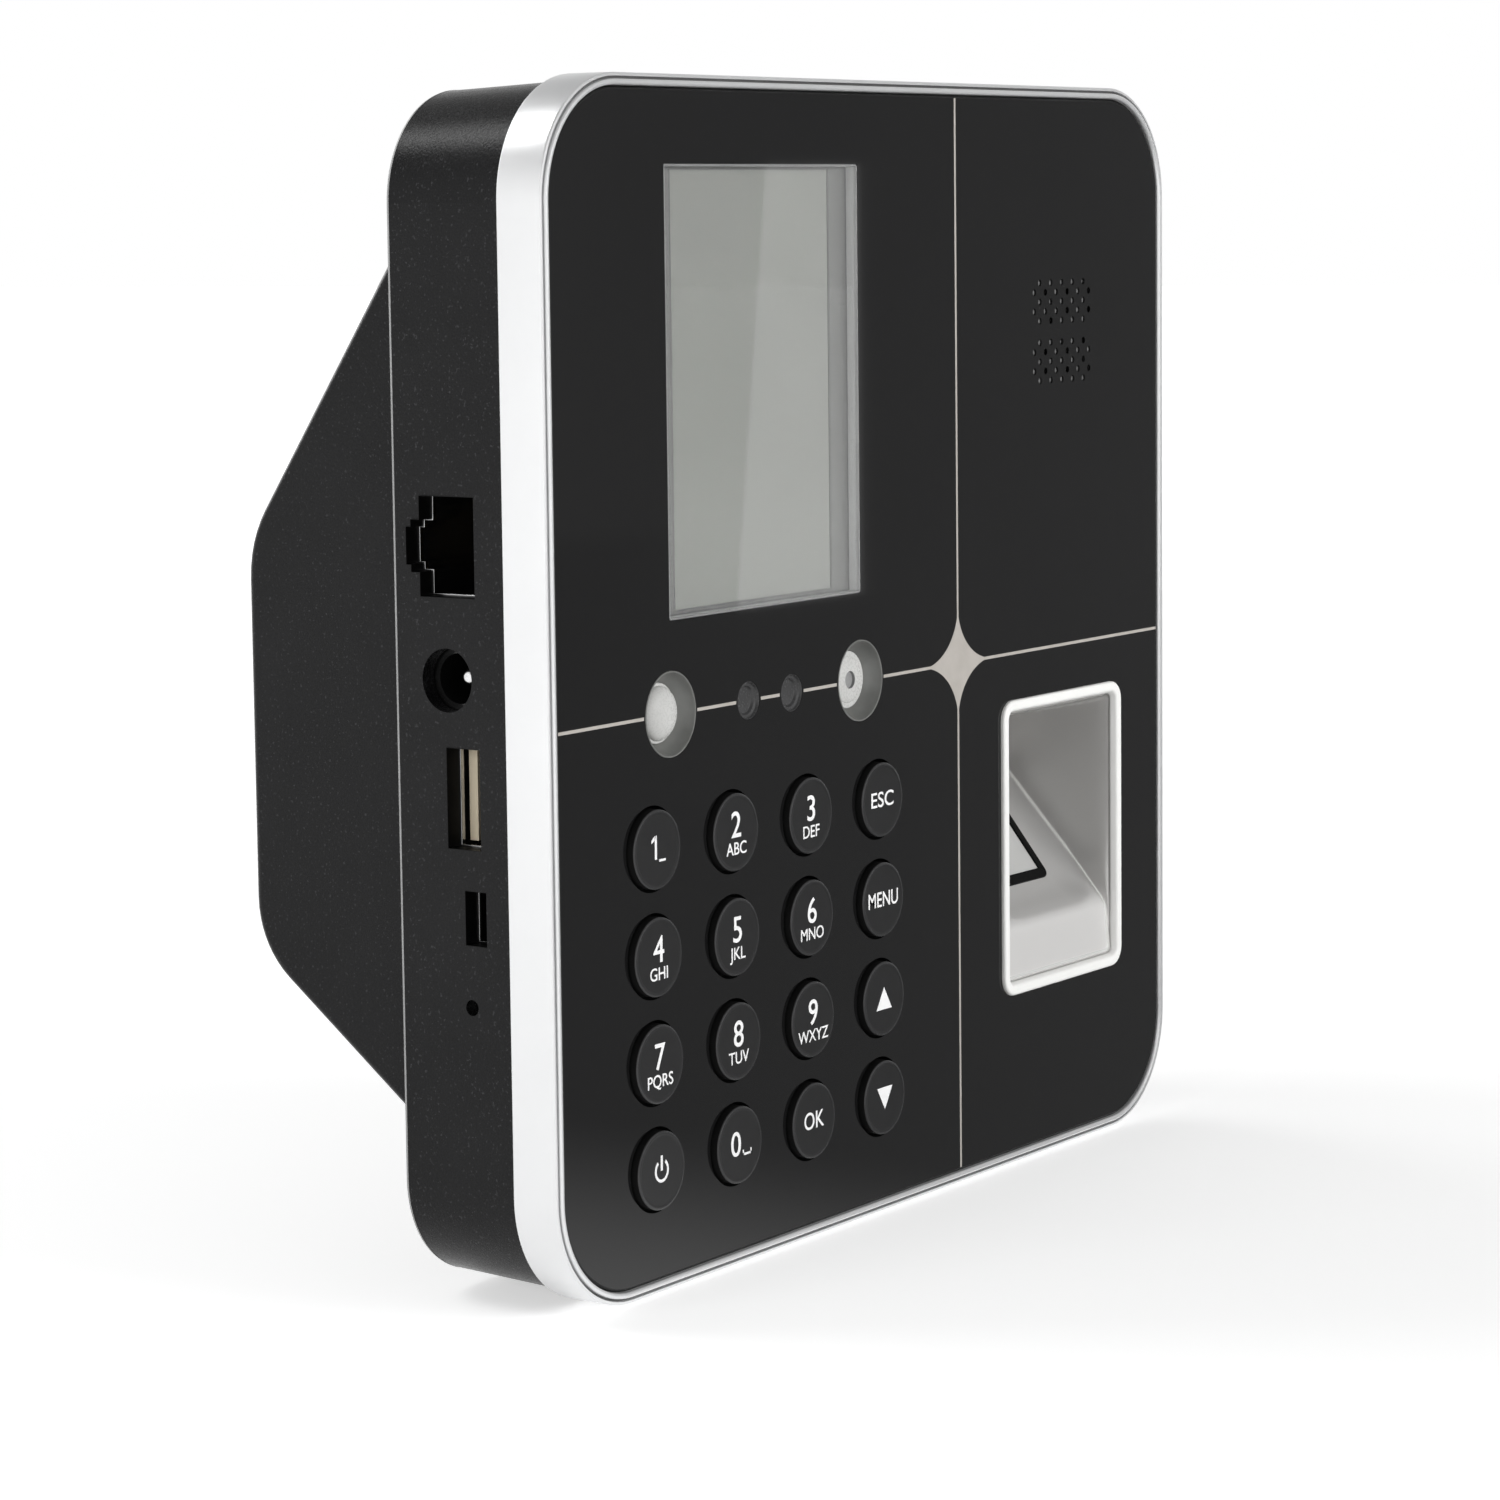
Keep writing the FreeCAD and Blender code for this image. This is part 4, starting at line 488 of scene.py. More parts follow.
def shell(rings, ends=None):
    """Closed skin over rings, an array of rows by columns by 3, in the face's millimetres. Columns wrap
    round. Without ends the rows wrap too, as on a torus; with ends, two points, each end ring is closed by
    a fan to its point. Returns points, quads and triangles."""
    rows, columns = rings.shape[:2]
    here = np.arange(rows * columns).reshape(rows, columns)
    beside = np.roll(here, -1, axis=1)
    quads = np.stack([here, beside, np.roll(beside, -1, axis=0), np.roll(here, -1, axis=0)], axis=-1)
    points, fans = rings.reshape(-1, 3), np.zeros((0, 3), int)
    if ends is not None:
        first, last = np.full((2, columns), [[here.size], [here.size + 1]])
        fans = np.vstack([np.stack([beside[0], here[0], first], axis=-1),
                          np.stack([here[-1], beside[-1], last], axis=-1)])
        points, quads = np.vstack([points, ends]), quads[:-1]
    quads = quads.reshape(-1, 4)
    corners = np.vstack([quads[:, [0, 1, 2]], quads[:, [0, 2, 3]], fans])
    a, b, c = (points[corners[:, i]] - points.mean(axis=0) for i in range(3))
    if np.einsum("ij,ij->", a, np.cross(b, c)) < 0:
        quads, fans = quads[:, ::-1], fans[:, ::-1]
    return points, quads, fans


def capped(rings):
    """Skin over rings whose first and last ring are closed by a fan to their middles."""
    return shell(rings, np.stack([rings[0].mean(axis=0), rings[-1].mean(axis=0)]))


def slab(flat, back, front):
    """Skin of a flat outline between two depths."""
    return capped(np.stack([np.insert(flat, 1, depth, axis=1) for depth in (back, front)]))


def bar(x0, x1, z0, z1, front, back):
    """Flat strip between two depths."""
    return slab(np.array([(x0, z0), (x1, z0), (x1, z1), (x0, z1)]), back, front)


def frame_bars(outer, inner, front, back):
    """Four strips between two rectangles, each given by its left, right, low and high sides."""
    x0, x1, z0, z1 = outer
    left, right, low, high = inner
    sides = ((x0, left, z0, z1), (right, x1, z0, z1), (left, right, z0, low), (left, right, high, z1))
    return [bar(*side, front, back) for side in sides]


def new_mesh(name, *shells, sharp=35.0):
    """Mesh of one or more shells, moved from the face's millimetres to the frame's metres."""
    counts = np.cumsum([0] + [len(points) for points, _, _ in shells])
    points = np.vstack([part[0] for part in shells]) * MM + ORIGIN
    quads = np.vstack([part[1] + count for part, count in zip(shells, counts)])
    fans = np.vstack([part[2] + count for part, count in zip(shells, counts)])
    mesh = bpy.data.meshes.new(name)
    mesh.from_pydata(points, [], [*quads.tolist(), *fans.tolist()])
    mesh.shade_smooth()
    mesh.set_sharp_from_angle(angle=math.radians(sharp))
    return mesh


def linked(name, data):
    """Object of some data, in the scene."""
    piece = bpy.data.objects.new(name, data)
    bpy.context.scene.collection.objects.link(piece)
    return piece


def new_piece(name, *shells, **kind):
    """Object of one or more shells."""
    return linked(name, new_mesh(name, *shells, **kind))


def outline(half_x, half_z, radius, arc=12, side=0):
    """X and Z of a rounded rectangle about zero: four quarter circles of radius round the corner centres,
    each followed by side more points along the straight line to the next."""
    angle = np.linspace(0, math.pi / 2, arc) + np.arange(4)[:, None] * math.pi / 2
    side_x = np.array([1, -1, -1, 1])[:, None]
    side_z = np.array([1, 1, -1, -1])[:, None]
    corners = np.stack([side_x * (half_x - radius) + radius * np.cos(angle),
                        side_z * (half_z - radius) + radius * np.sin(angle)], axis=-1)
    start = corners[:, -1:]
    share = np.linspace(0, 1, side + 2)[1:-1, None]
    runs = start + (np.roll(corners[:, :1], -1, axis=0) - start) * share
    return np.concatenate([corners, runs], axis=1).reshape(-1, 2)


def carried_round(profile, half_x, half_z, radius, middle=(0, 0), **counts):
    """Rings of a profile carried round a rounded rectangle. A profile point is an inset i and a Y; its ring
    is the outline of half sizes half - i and corner radius - i, at that Y."""
    rings = []
    for inset, depth in profile:
        flat = outline(half_x - inset, half_z - inset, radius - inset, **counts) + middle
        rings.append(np.insert(flat, 1, depth, axis=1))
    return np.stack(rings)


def turned(profile, middle, steps=64):
    """Rings of a profile turned about a line along Y. A profile point is a radius r and a Y; at angle a
    it lies at the middle + r * (cos a, sin a)."""
    angle = np.arange(steps) / steps * 2 * math.pi
    radius, depth = np.transpose(profile)
    x = middle[0] + radius[:, None] * np.cos(angle)
    z = middle[1] + radius[:, None] * np.sin(angle)
    return np.stack([x, np.broadcast_to(depth[:, None], x.shape), z], axis=-1)


def bent(start, corner, end, share):
    """Point at a share of the quadratic curve (1 - s) ** 2 start + 2 s (1 - s) corner + s ** 2 end."""
    return (1 - share) ** 2 * start + 2 * share * (1 - share) * corner + share ** 2 * end


def rounded(corners, steps=6):
    """Profile of straight runs through corners (across, depth, radius): at each corner the points follow the
    bent curve between the two points that lie radius away from it. A radius of 0 keeps the corner."""
    places = np.array([corner[:2] for corner in corners], float)
    share = np.linspace(0, 1, steps)[:, None]
    parts = [places[:1]]
    for before, corner, after, (_, _, radius) in zip(places, places[1:], places[2:], corners[1:]):
        if radius == 0:
            parts.append(corner[None])
            continue
        start = corner + (before - corner) / np.linalg.norm(before - corner) * radius
        end = corner + (after - corner) / np.linalg.norm(after - corner) * radius
        parts.append(bent(start, corner, end, share))
    parts.append(places[-1:])
    return np.vstack(parts)


def place(piece, body, slot, material, *nodes):
    """Puts a finish on a new piece, ties it to its body and hides the CAD nodes it stands for. The slot is
    not used.
    """
    piece.data.materials.clear()
    piece.data.materials.append(material)
    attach(piece, body)
    if nodes:
        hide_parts(*nodes)
    return piece


def paint(piece, material, picked):
    """Gives the picked faces of a piece a further finish."""
    piece.data.materials.append(material)
    index = np.zeros(len(piece.data.polygons), np.int32)
    piece.data.polygons.foreach_get("material_index", index)
    index[picked] = len(piece.data.materials) - 1
    piece.data.polygons.foreach_set("material_index", index)


def paint_rows(piece, material, columns, chosen):
    """Gives the quads of the chosen rows of a piece's one shell a further finish. The last row's closing
    fan, if there is one, goes with it, and the first row's keeps its finish."""
    fans = np.repeat([False, chosen[-1]], columns)
    paint(piece, material, np.append(np.repeat(chosen, columns), fans)[:len(piece.data.polygons)])


# Properties

def colour_setting(name, description, default):
    """Property for a colour."""
    return FloatVectorProperty(name=name, description=description, default=default, subtype="COLOR")


def length_setting(name, description, millimetres):
    """Property for a length, given in millimetres and held in metres."""
    return FloatProperty(name=name, description=description, default=millimetres * MM, unit="LENGTH")


class CaseSettings(bpy.types.PropertyGroup):
    """Colours of the case and the width of the rim's groove."""

    silver_colour: colour_setting("Silver", "Colour of the silver rim", (0.85, 0.855, 0.86))
    fascia_colour: colour_setting("Fascia", "Colour of the gloss front", (0.0075, 0.0075, 0.0077))
    housing_colour: colour_setting("Housing", "Colour of the side and rear shells", (0.0095, 0.0095, 0.01))
    groove_width: length_setting("Groove width", "Width of the groove between rim and lip", 0.3)


class KeySettings(bpy.types.PropertyGroup):
    """Colours of the keys and of their print."""

    key_colour: colour_setting("Key", "Colour of the keys", (0.015, 0.015, 0.0155))
    legend_colour: colour_setting("Legends", "Colour of the printed characters", (0.93, 0.93, 0.93))


class LampSettings(bpy.types.PropertyGroup):
    """Colours and sizes of the lamps and camera windows."""

    cup_colour: colour_setting("Cup", "Colour of the lamp cups", (0.225, 0.228, 0.218))
    lens_colour: colour_setting("Lens", "Colour of the lamp lenses", (0.6, 0.6, 0.585))
    camera_colour: colour_setting("Camera window", "Colour of the smoked windows", (0.055, 0.055, 0.056))
    left_rise: length_setting("Left lens rise", "Height of the left lens's dome", 1.6)
    right_rise: length_setting("Right lens rise", "Height of the right lens's dome", 0.4)


class ScreenSettings(bpy.types.PropertyGroup):
    """Colours of the screen and widths of its border."""

    display_colour: colour_setting("Display", "Colour of the display", (0.106, 0.108, 0.099))
    border_colour: colour_setting("Border", "Colour of the frame round the display", (0.05, 0.05, 0.0485))
    lining_colour: colour_setting("Lining", "Colour of the opening's side walls", (0.52, 0.52, 0.52))
    left_border: length_setting("Left border", "Width of the border left of the display", 3.3)
    right_border: length_setting("Right border", "Width of the border right of the display", 4.5)
    lower_border: length_setting("Lower border", "Width of the border below the display", 0.7)
    upper_border: length_setting("Upper border", "Width of the border above the display", 0.4)


class ReaderSettings(bpy.types.PropertyGroup):
    """Colour of the reader's tub."""

    tub_colour: colour_setting("Tub", "Colour of the satin silver tub", (0.62, 0.613, 0.602))


class SpeakerSettings(bpy.types.PropertyGroup):
    """Colour and place of the cloth in the speaker's holes."""

    cloth_colour: colour_setting("Cloth", "Colour of the cloth", (0.18, 0.18, 0.18))
    cloth_depth: length_setting("Cloth depth", "Depth of the cloth from the front of the rim", 0.62)
    hole_radius: length_setting("Hole radius", "Radius of the holes", 0.47)


class PortSettings(bpy.types.PropertyGroup):
    """Width of the sockets' bright edges."""

    lip_width: length_setting("Edge width", "Width of the steel edges", 0.26)


class PrintSettings(bpy.types.PropertyGroup):
    """Sizes of the silver lines on the fascia."""

    line_width: length_setting("Line width", "Width of the silver lines", 0.42)
    line_height: length_setting("Line height", "How far the print stands off the fascia", 0.015)
    star_reach: length_setting("Star reach", "Length of the star's arms", 8.8)
    star_rise: length_setting("Star rise", "Height of the star's arms", 7.8)


class StageSettings(bpy.types.PropertyGroup):
    """Level of the world's light and colour of the floor."""

    world_level: FloatProperty(name="World level", description="Strength of the even light from all round",
                               default=0.25)
    floor_colour: colour_setting("Floor colour", "Colour of the floor", (0.85, 0.85, 0.85))


# Case

class TERMINAL_OT_case(bpy.types.Operator):
    """Finish the gloss front and the shells behind the rim"""

    bl_idname = "terminal.case"
    bl_label = "Case"

    def execute(self, context):
        sizes = context.scene.terminal_case
        dress(["fascia"], finish("gloss_black", *shades(sizes.fascia_colour, 0.85), 0.03, 0.003, patch=0.05))
        light, dark = shades(sizes.housing_colour, 0.7)
        eroded = finish("housing_black", light, dark, 0.27, 0.05, patch=0.01, grain=0.00003, ior=1.25)
        add_specks(eroded, light * 4, 0.0004, 0.66)
        dress(["side_housing", "rear_cover"], eroded)
        return {"FINISHED"}


class TERMINAL_OT_inside(bpy.types.Operator):
    """Finish the parts inside the case"""

    bl_idname = "terminal.inside"
    bl_label = "Inside parts"

    def execute(self, context):
        dress_from(INSIDE_FINISHES)
        return {"FINISHED"}


class TERMINAL_OT_sockets(bpy.types.Operator):
    """Finish the sockets in the side wall"""

    bl_idname = "terminal.sockets"
    bl_label = "Sockets"

    def execute(self, context):
        dress_from(SOCKET_FINISHES)
        return {"FINISHED"}


class TERMINAL_OT_rim(bpy.types.Operator):
    """Build the silver rim with its groove and raised lip"""

    bl_idname = "terminal.rim"
    bl_label = "Silver rim"

    def execute(self, context):
        sizes = context.scene.terminal_case
        silver = finish("rim_silver", *shades(sizes.silver_colour, 0.95), 0.33, 0.015, metal=0.6, patch=0.03,
                        grain=0.000003, grain_size=0.003)
        far = GROOVE_INSET + sizes.groove_width / MM
        profile = rounded([
            (RIM_WALL, RIB_BACK, 0), (RIM_WALL, RIM_BACK, 0.1), (0, RIM_BACK, 0.3), (0, RIM_FRONT, 0.3),
            (GROOVE_INSET - 0.02, RIM_FRONT, 0.05), (GROOVE_INSET, GROOVE_FLOOR, 0), (far, GROOVE_FLOOR, 0),
            (far + 0.02, 0, LIP_ROUND), (LIP_INSET, 0, LIP_ROUND), (*LIP_FOOT, 0), (RIM_WALL, LIP_FOOT[1], 0),
            (RIM_WALL, RIB_FRONT, 0), (RIB_INSET, RIB_FRONT, 0), (RIB_INSET, RIB_BACK, 0),
        ])
        rings = round_face(profile)
        piece = new_piece("silver_rim", shell(rings))
        place(piece, "case", "silver_paint", silver, "front_bezel")
        # Painted shade: the groove and the inner foot of the lip take a dark grey
        shade = finish("groove_painted_shade", 0.1, 0.08, 0.6, patch=0.005)
        inset, depth = profile.T
        sunk = (inset > GROOVE_INSET - 0.015) & (inset < far + 0.04) & (depth > GROOVE_FLOOR - 0.3)
        beside = (inset > LIP_INSET) & (depth > LIP_FOOT[1] - 0.15)
        dark = (sunk & np.roll(sunk, -1)) | (beside & np.roll(beside, -1))
        paint_rows(piece, shade, rings.shape[1], dark)
        # Painted highlight: a thin pale grey ring stands on the housing's rear edge, where its rounding
        # catches the light
        grey = finish("edge_painted_highlight", 0.36, 0.3, 0.35, patch=0.01)
        edge = new_piece("housing_highlight_ring", shell(round_face(rounded(HOUSING_HIGHLIGHT_RING))))
        place(edge, "case", "silver_paint", grey)
        return {"FINISHED"}


def round_face(profile):
    """Rings of a profile carried round the face's outline."""
    return carried_round(profile, FACE_HALF, FACE_HALF, FACE_CORNER, arc=28)


class TERMINAL_OT_print(bpy.types.Operator):
    """Print the silver lines and the star on the fascia"""

    bl_idname = "terminal.print"
    bl_label = "Printed lines"

    def execute(self, context):
        sizes = context.scene.terminal_print
        half = sizes.line_width / MM / 2
        back = FASCIA_DEPTH + PRINT_SUNK
        front = FASCIA_DEPTH - sizes.line_height / MM
        cross_x, cross_z = CROSS
        holes = sorted([*((x, LAMP_GAP) for x in LAMP_X), *((x, CAMERA_GAP) for x in CAMERA_X)])
        breaks = [x + side * gap for x, gap in holes for side in (-1, 1)]
        across = [-LINE_END, *breaks, cross_x, cross_x, LINE_END]
        lines = [bar(x0, x1, cross_z - half, cross_z + half, front, back)
                 for x0, x1 in zip(across[::2], across[1::2])]
        lines += [bar(cross_x - half, cross_x + half, z0, z1, front, back)
                  for z0, z1 in ((-LINE_END, cross_z), (cross_z, LINE_END))]
        arms = star(sizes.star_reach / MM, sizes.star_rise / MM) + CROSS
        piece = new_piece("silver_lines", *lines, slab(arms, back, front - STAR_OVER_LINES))
        light, dark = (0.58, 0.545, 0.505), (0.52, 0.49, 0.45)
        silver = finish("print_silver", light, dark, 0.4, metal=0.25, patch=0.002)
        place(piece, "case", "gloss_black", silver)
        return {"FINISHED"}


def star(reach, rise):
    """Outline of a star of four arms about zero: at angle a, with c for its cosine and s for its sine, X is
    reach * sign(c) * abs(c) ** STAR_POWER and Z is rise * sign(s) * abs(s) ** STAR_POWER."""
    angle = np.arange(STAR_POINTS) / STAR_POINTS * 2 * math.pi
    around = np.stack([np.cos(angle), np.sin(angle)], axis=-1)
    return np.sign(around) * np.abs(around) ** STAR_POWER * (reach, rise)


# Keys

class TERMINAL_OT_keys(bpy.types.Operator):
    """Build the round keys and print their legends"""

    bl_idname = "terminal.keys"
    bl_label = "Keys"

    def execute(self, context):
        sizes = context.scene.terminal_keys
        colour = np.array(sizes.key_colour)
        charcoal = finish("key_face", colour, colour * 0.8, 0.42, patch=0.002, grain=0.000002,
                          grain_size=0.0001)
        # Painted highlight, partly real gloss: the chamfer round each key's top takes a colour about twice
        # the key's and a lower roughness
        edge = finish("key_edge_highlight", colour * 2.2, colour * 1.8, 0.22, patch=0.002)
        # Painted shade: each key's side below its top shoulder takes a darker black than its face
        painted_skirt_shade = finish("key_skirt_painted_shade", 0.006, 0.004, 0.6, patch=0.002, ior=1.3)
        white = finish("legend_white", *shades(sizes.legend_colour, 0.93), 0.5, patch=0.001)
        profile = rounded(KEY_PROFILE, steps=5)
        radius, depth = profile.T
        low = depth[:-1] > KEY_SHOULDER
        highlighted_chamfer = (depth[:-1] < KEY_SHOULDER) & (radius[1:] > KEY_RADIUS - KEY_HIGHLIGHT_WIDTH)
        for row, names in enumerate(KEY_ROWS):
            for column, (name, words, figures) in enumerate(names):
                middle = (KEY_FIRST[0] + KEY_PITCH[0] * column, KEY_FIRST[1] - KEY_PITCH[1] * row)
                rings = turned(profile, middle)
                cap = new_piece("cap_" + name, capped(rings))
                place(cap, "key_" + name, "key_black", charcoal, "key_" + name)
                paint_rows(cap, painted_skirt_shade, rings.shape[1], low)
                paint_rows(cap, edge, rings.shape[1], highlighted_chamfer)
                legend = new_legend("legend_" + name, words, figures, middle)
                place(legend, "key_" + name, "key_black", white)
        return {"FINISHED"}


def new_legend(name, words, figures, middle):
    """Object of a key's printed characters: flat figures, the power key's ring, and words."""
    sides = LEGEND_DEPTH + LEGEND_THICKNESS / 2, LEGEND_DEPTH - LEGEND_THICKNESS / 2
    parts = [new_mesh("figure", slab(np.array(flat) + middle, *sides)) for flat in figures]
    if name == "legend_power":
        parts.append(new_mesh("ring", power_ring(middle)))
    parts += [word_mesh(middle, *word) for word in words]
    whole = bmesh.new()
    for mesh in parts:
        whole.from_mesh(mesh)
        bpy.data.meshes.remove(mesh)
    bmesh.ops.remove_doubles(whole, verts=whole.verts, dist=1e-7)
    bmesh.ops.recalc_face_normals(whole, faces=whole.faces)
    mesh = bpy.data.meshes.new(name)
    whole.to_mesh(mesh)
    whole.free()
    return linked(name, mesh)


def word_mesh(middle, letters, height, width, rise, shift=0):
    """Mesh of a printed word, moved by shift and rise from the key's middle. The font's letters, a unit
    high with their line, are scaled so that capitals come to height, and width is a further share."""
    text = bpy.data.curves.new("text", "FONT")
    text.body = letters
    text.size = 1.0
    text.offset = LETTER_WEIGHT
    text.extrude = LETTER_EXTRUDE
    holder = linked("text", text)
    mesh = bpy.data.meshes.new_from_object(holder.evaluated_get(bpy.context.evaluated_depsgraph_get()))
    bpy.data.objects.remove(holder)
    flat = np.zeros(len(mesh.vertices) * 3, np.float32)
    mesh.vertices.foreach_get("co", flat)
    across, up, out = flat.reshape(-1, 3).astype(float).T
    size = height / CAPITAL_HEIGHT
    x = middle[0] + shift + (across - (across.min() + across.max()) / 2) * size * width
    z = middle[1] + rise + (up - CAPITAL_HEIGHT / 2) * size
    depth = LEGEND_DEPTH - out / LETTER_EXTRUDE * LEGEND_THICKNESS / 2
    placed = np.stack([x, depth, z], axis=-1) * MM + ORIGIN
    mesh.vertices.foreach_set("co", placed.astype(np.float32).ravel())
    mesh.update()
    return mesh


def power_ring(middle):
    """Skin of the power sign's open ring: a small rectangle carried along most of a circle."""
    angle = np.linspace(*np.radians(POWER_OPENING), 40)[:, None]
    radius = np.repeat(POWER_RING, 2)[[0, 2, 3, 1]]
    depth = LEGEND_DEPTH + np.array([1, 1, -1, -1]) * LEGEND_THICKNESS / 2
    x = middle[0] + np.cos(angle) * radius
    z = middle[1] + np.sin(angle) * radius
    return capped(np.stack([x, np.broadcast_to(depth, x.shape), z], axis=-1))


# Lamps, cameras and screen

class TERMINAL_OT_lamps(bpy.types.Operator):
    """Build the two lamps: cone-shaped cups with white lenses"""

    bl_idname = "terminal.lamps"
    bl_label = "Lamps"

    def execute(self, context):
        sizes = context.scene.terminal_lamps
        cup = finish("lamp_cup", *shades(sizes.cup_colour, 0.8), 0.45, metal=0.3, patch=0.003)
        white = finish("lamp_lens", *shades(sizes.lens_colour, 0.93), 0.28, patch=0.003)
        feed(white.node_tree.nodes["Principled BSDF"], {
            "Subsurface Weight": 0.2, "Subsurface Radius": (0.001, 0.001, 0.001), "Subsurface Scale": 0.5,
        })
        dot = finish("lamp_dot", 0.3, 0.24, 0.4, patch=0.001)
        wall = rounded(LAMP_CUP)
        dome = lens_dome(LEFT_LENS_RADIUS, sizes.left_rise / MM, LENS_TURN)
        shallow = lens_dome(RIGHT_LENS_RADIUS, sizes.right_rise / MM, LENS_TURN[:-3])
        profiles = ([*LENS_BASE, *dome], [*LENS_BASE, *shallow, *(shallow[-1] + RIGHT_LENS_PIT)])
        for side, x, profile in zip(("left", "right"), LAMP_X, profiles):
            middle = (x, CROSS[1])
            piece = new_piece(side + "_lamp_cup", shell(turned(wall, middle)))
            place(piece, "case", "lamp_silver", cup, side + "_lamp_reflector")
            rings = turned(profile, middle)
            piece = new_piece(side + "_lamp_dome", capped(rings))
            place(piece, "case", "lens_white", white, side + "_lamp_lens")
            if side == "right":
                rows = len(rings) - 1
                paint_rows(piece, dot, rings.shape[1], np.arange(rows) >= rows - PIT_ROWS)
        return {"FINISHED"}


def lens_dome(radius, rise, turn):
    """Profile of a lens's dome: radius * sin(turn) across, and rise * cos(turn) in front of its seat."""
    return np.stack([radius * np.sin(turn), LENS_SEAT - rise * np.cos(turn)], axis=-1)


class TERMINAL_OT_cameras(bpy.types.Operator):
    """Build the two dark camera windows"""

    bl_idname = "terminal.cameras"
    bl_label = "Camera windows"

    def execute(self, context):
        sizes = context.scene.terminal_lamps
        smoke = finish("smoked_window", *shades(sizes.camera_colour, 0.85), 0.25, patch=0.002)
        profile = rounded(CAMERA_WINDOW, steps=4)
        for side, x in zip(("left", "right"), CAMERA_X):
            piece = new_piece(side + "_camera_glass", capped(turned(profile, (x, CROSS[1]), steps=48)))
            place(piece, "case", "dark_glass", smoke, side + "_camera_window")
        return {"FINISHED"}


class TERMINAL_OT_screen(bpy.types.Operator):
    """Build the screen's lining, border and clear pane"""

    bl_idname = "terminal.screen"
    bl_label = "Screen"

    def execute(self, context):
        sizes = context.scene.terminal_screen
        half_x, half_z = SCREEN_HALF
        light, dark = shades(sizes.display_colour, 0.96)
        dress(["lcd_panel"], finish("display", light, dark, 0.35, 0.02, patch=0.03, grain_size=0.01))
        edge = finish("screen_border", *shades(sizes.border_colour, 0.93), 0.4, patch=0.01)
        dress(["lcd_frame"], edge)
        colour = np.array(sizes.lining_colour)
        pale = finish("screen_lining", colour, colour * 0.93, 0.5, patch=0.004)
        rings = carried_round(rounded(LINING, steps=3), half_x - LINING_GAP, half_z - LINING_GAP,
                              LINING_CORNER, SCREEN_MIDDLE, arc=4)
        piece = place(new_piece("screen_lining", shell(rings)), "case", "clear_window", pale)
        facing = np.zeros(len(piece.data.polygons) * 3, np.float32)
        piece.data.polygons.foreach_get("normal", facing)
        # Painted shade: the lining's faces that don't face along X take a darker copy of its colour
        painted_shade = finish("lining_painted_shade", colour * 0.45, colour * 0.4, 0.5, patch=0.004)
        paint(piece, painted_shade, np.abs(facing[::3]) < LINING_SIDEWAYS)
        x, z = SCREEN_MIDDLE
        opening = np.array([x - half_x, x + half_x, z - half_z, z + half_z])
        widths = np.array([sizes.left_border, sizes.right_border, sizes.lower_border, sizes.upper_border])
        inner = opening + INWARD * widths / MM
        border = new_piece("display_border", *frame_bars(opening, inner, *BORDER_DEPTHS))
        place(border, "case", "clear_window", edge)
        line = finish("border_line", 0.02, 0.016, 0.5, patch=0.01)
        bars = []
        for sides, (width, *depths) in ((inner, INNER_LINE), (opening, OUTER_LINE)):
            bars += frame_bars(sides, sides + INWARD * width, *depths)
        place(new_piece("display_outline", *bars), "case", "clear_window", line)
        clear = clear_glass("screen_pane", (0.97, 0.98, 0.97), (0.95, 0.96, 0.95))
        rings = carried_round(PANE, half_x - PANE_GAP, half_z - PANE_GAP, PANE_CORNER, SCREEN_MIDDLE, arc=3)
        place(new_piece("screen_pane", capped(rings)), "case", "clear_window", clear, "screen_window")
        return {"FINISHED"}


class TERMINAL_OT_speaker(bpy.types.Operator):
    """Build the cloth that shows in the speaker's holes"""

    bl_idname = "terminal.speaker"
    bl_label = "Speaker cloth"

    def execute(self, context):
        sizes = context.scene.terminal_speaker
        cloth = finish("cloth_grey", *shades(sizes.cloth_colour, 0.5), 0.8, patch=0.0012)
        radius = sizes.hole_radius / MM - CLOTH_GAP
        domes = []
        for group in SPEAKER_ROWS:
            for row, count in enumerate(SPEAKER_COUNTS):
                z = group + (2 - row) * SPEAKER_PITCH[1]
                for column in range(count):
                    x = SPEAKER_X + (column - (count - 1) / 2) * SPEAKER_PITCH[0]
                    wave = math.sin(CLOTH_WAVES[0] * x + CLOTH_WAVES[1] * z)
                    crown = sizes.cloth_depth / MM + CLOTH_SAG * max(0, wave - CLOTH_SAG_FROM)
                    profile = [(radius, CLOTH_BACK)]
                    profile += [(radius * share, crown + fall) for share, fall in CLOTH_DOME]
                    domes.append(capped(turned(profile, (x, z), steps=12)))
        place(new_piece("speaker_cloth_domes", *domes), "case", "speaker_cloth", cloth)
        return {"FINISHED"}


# Reader

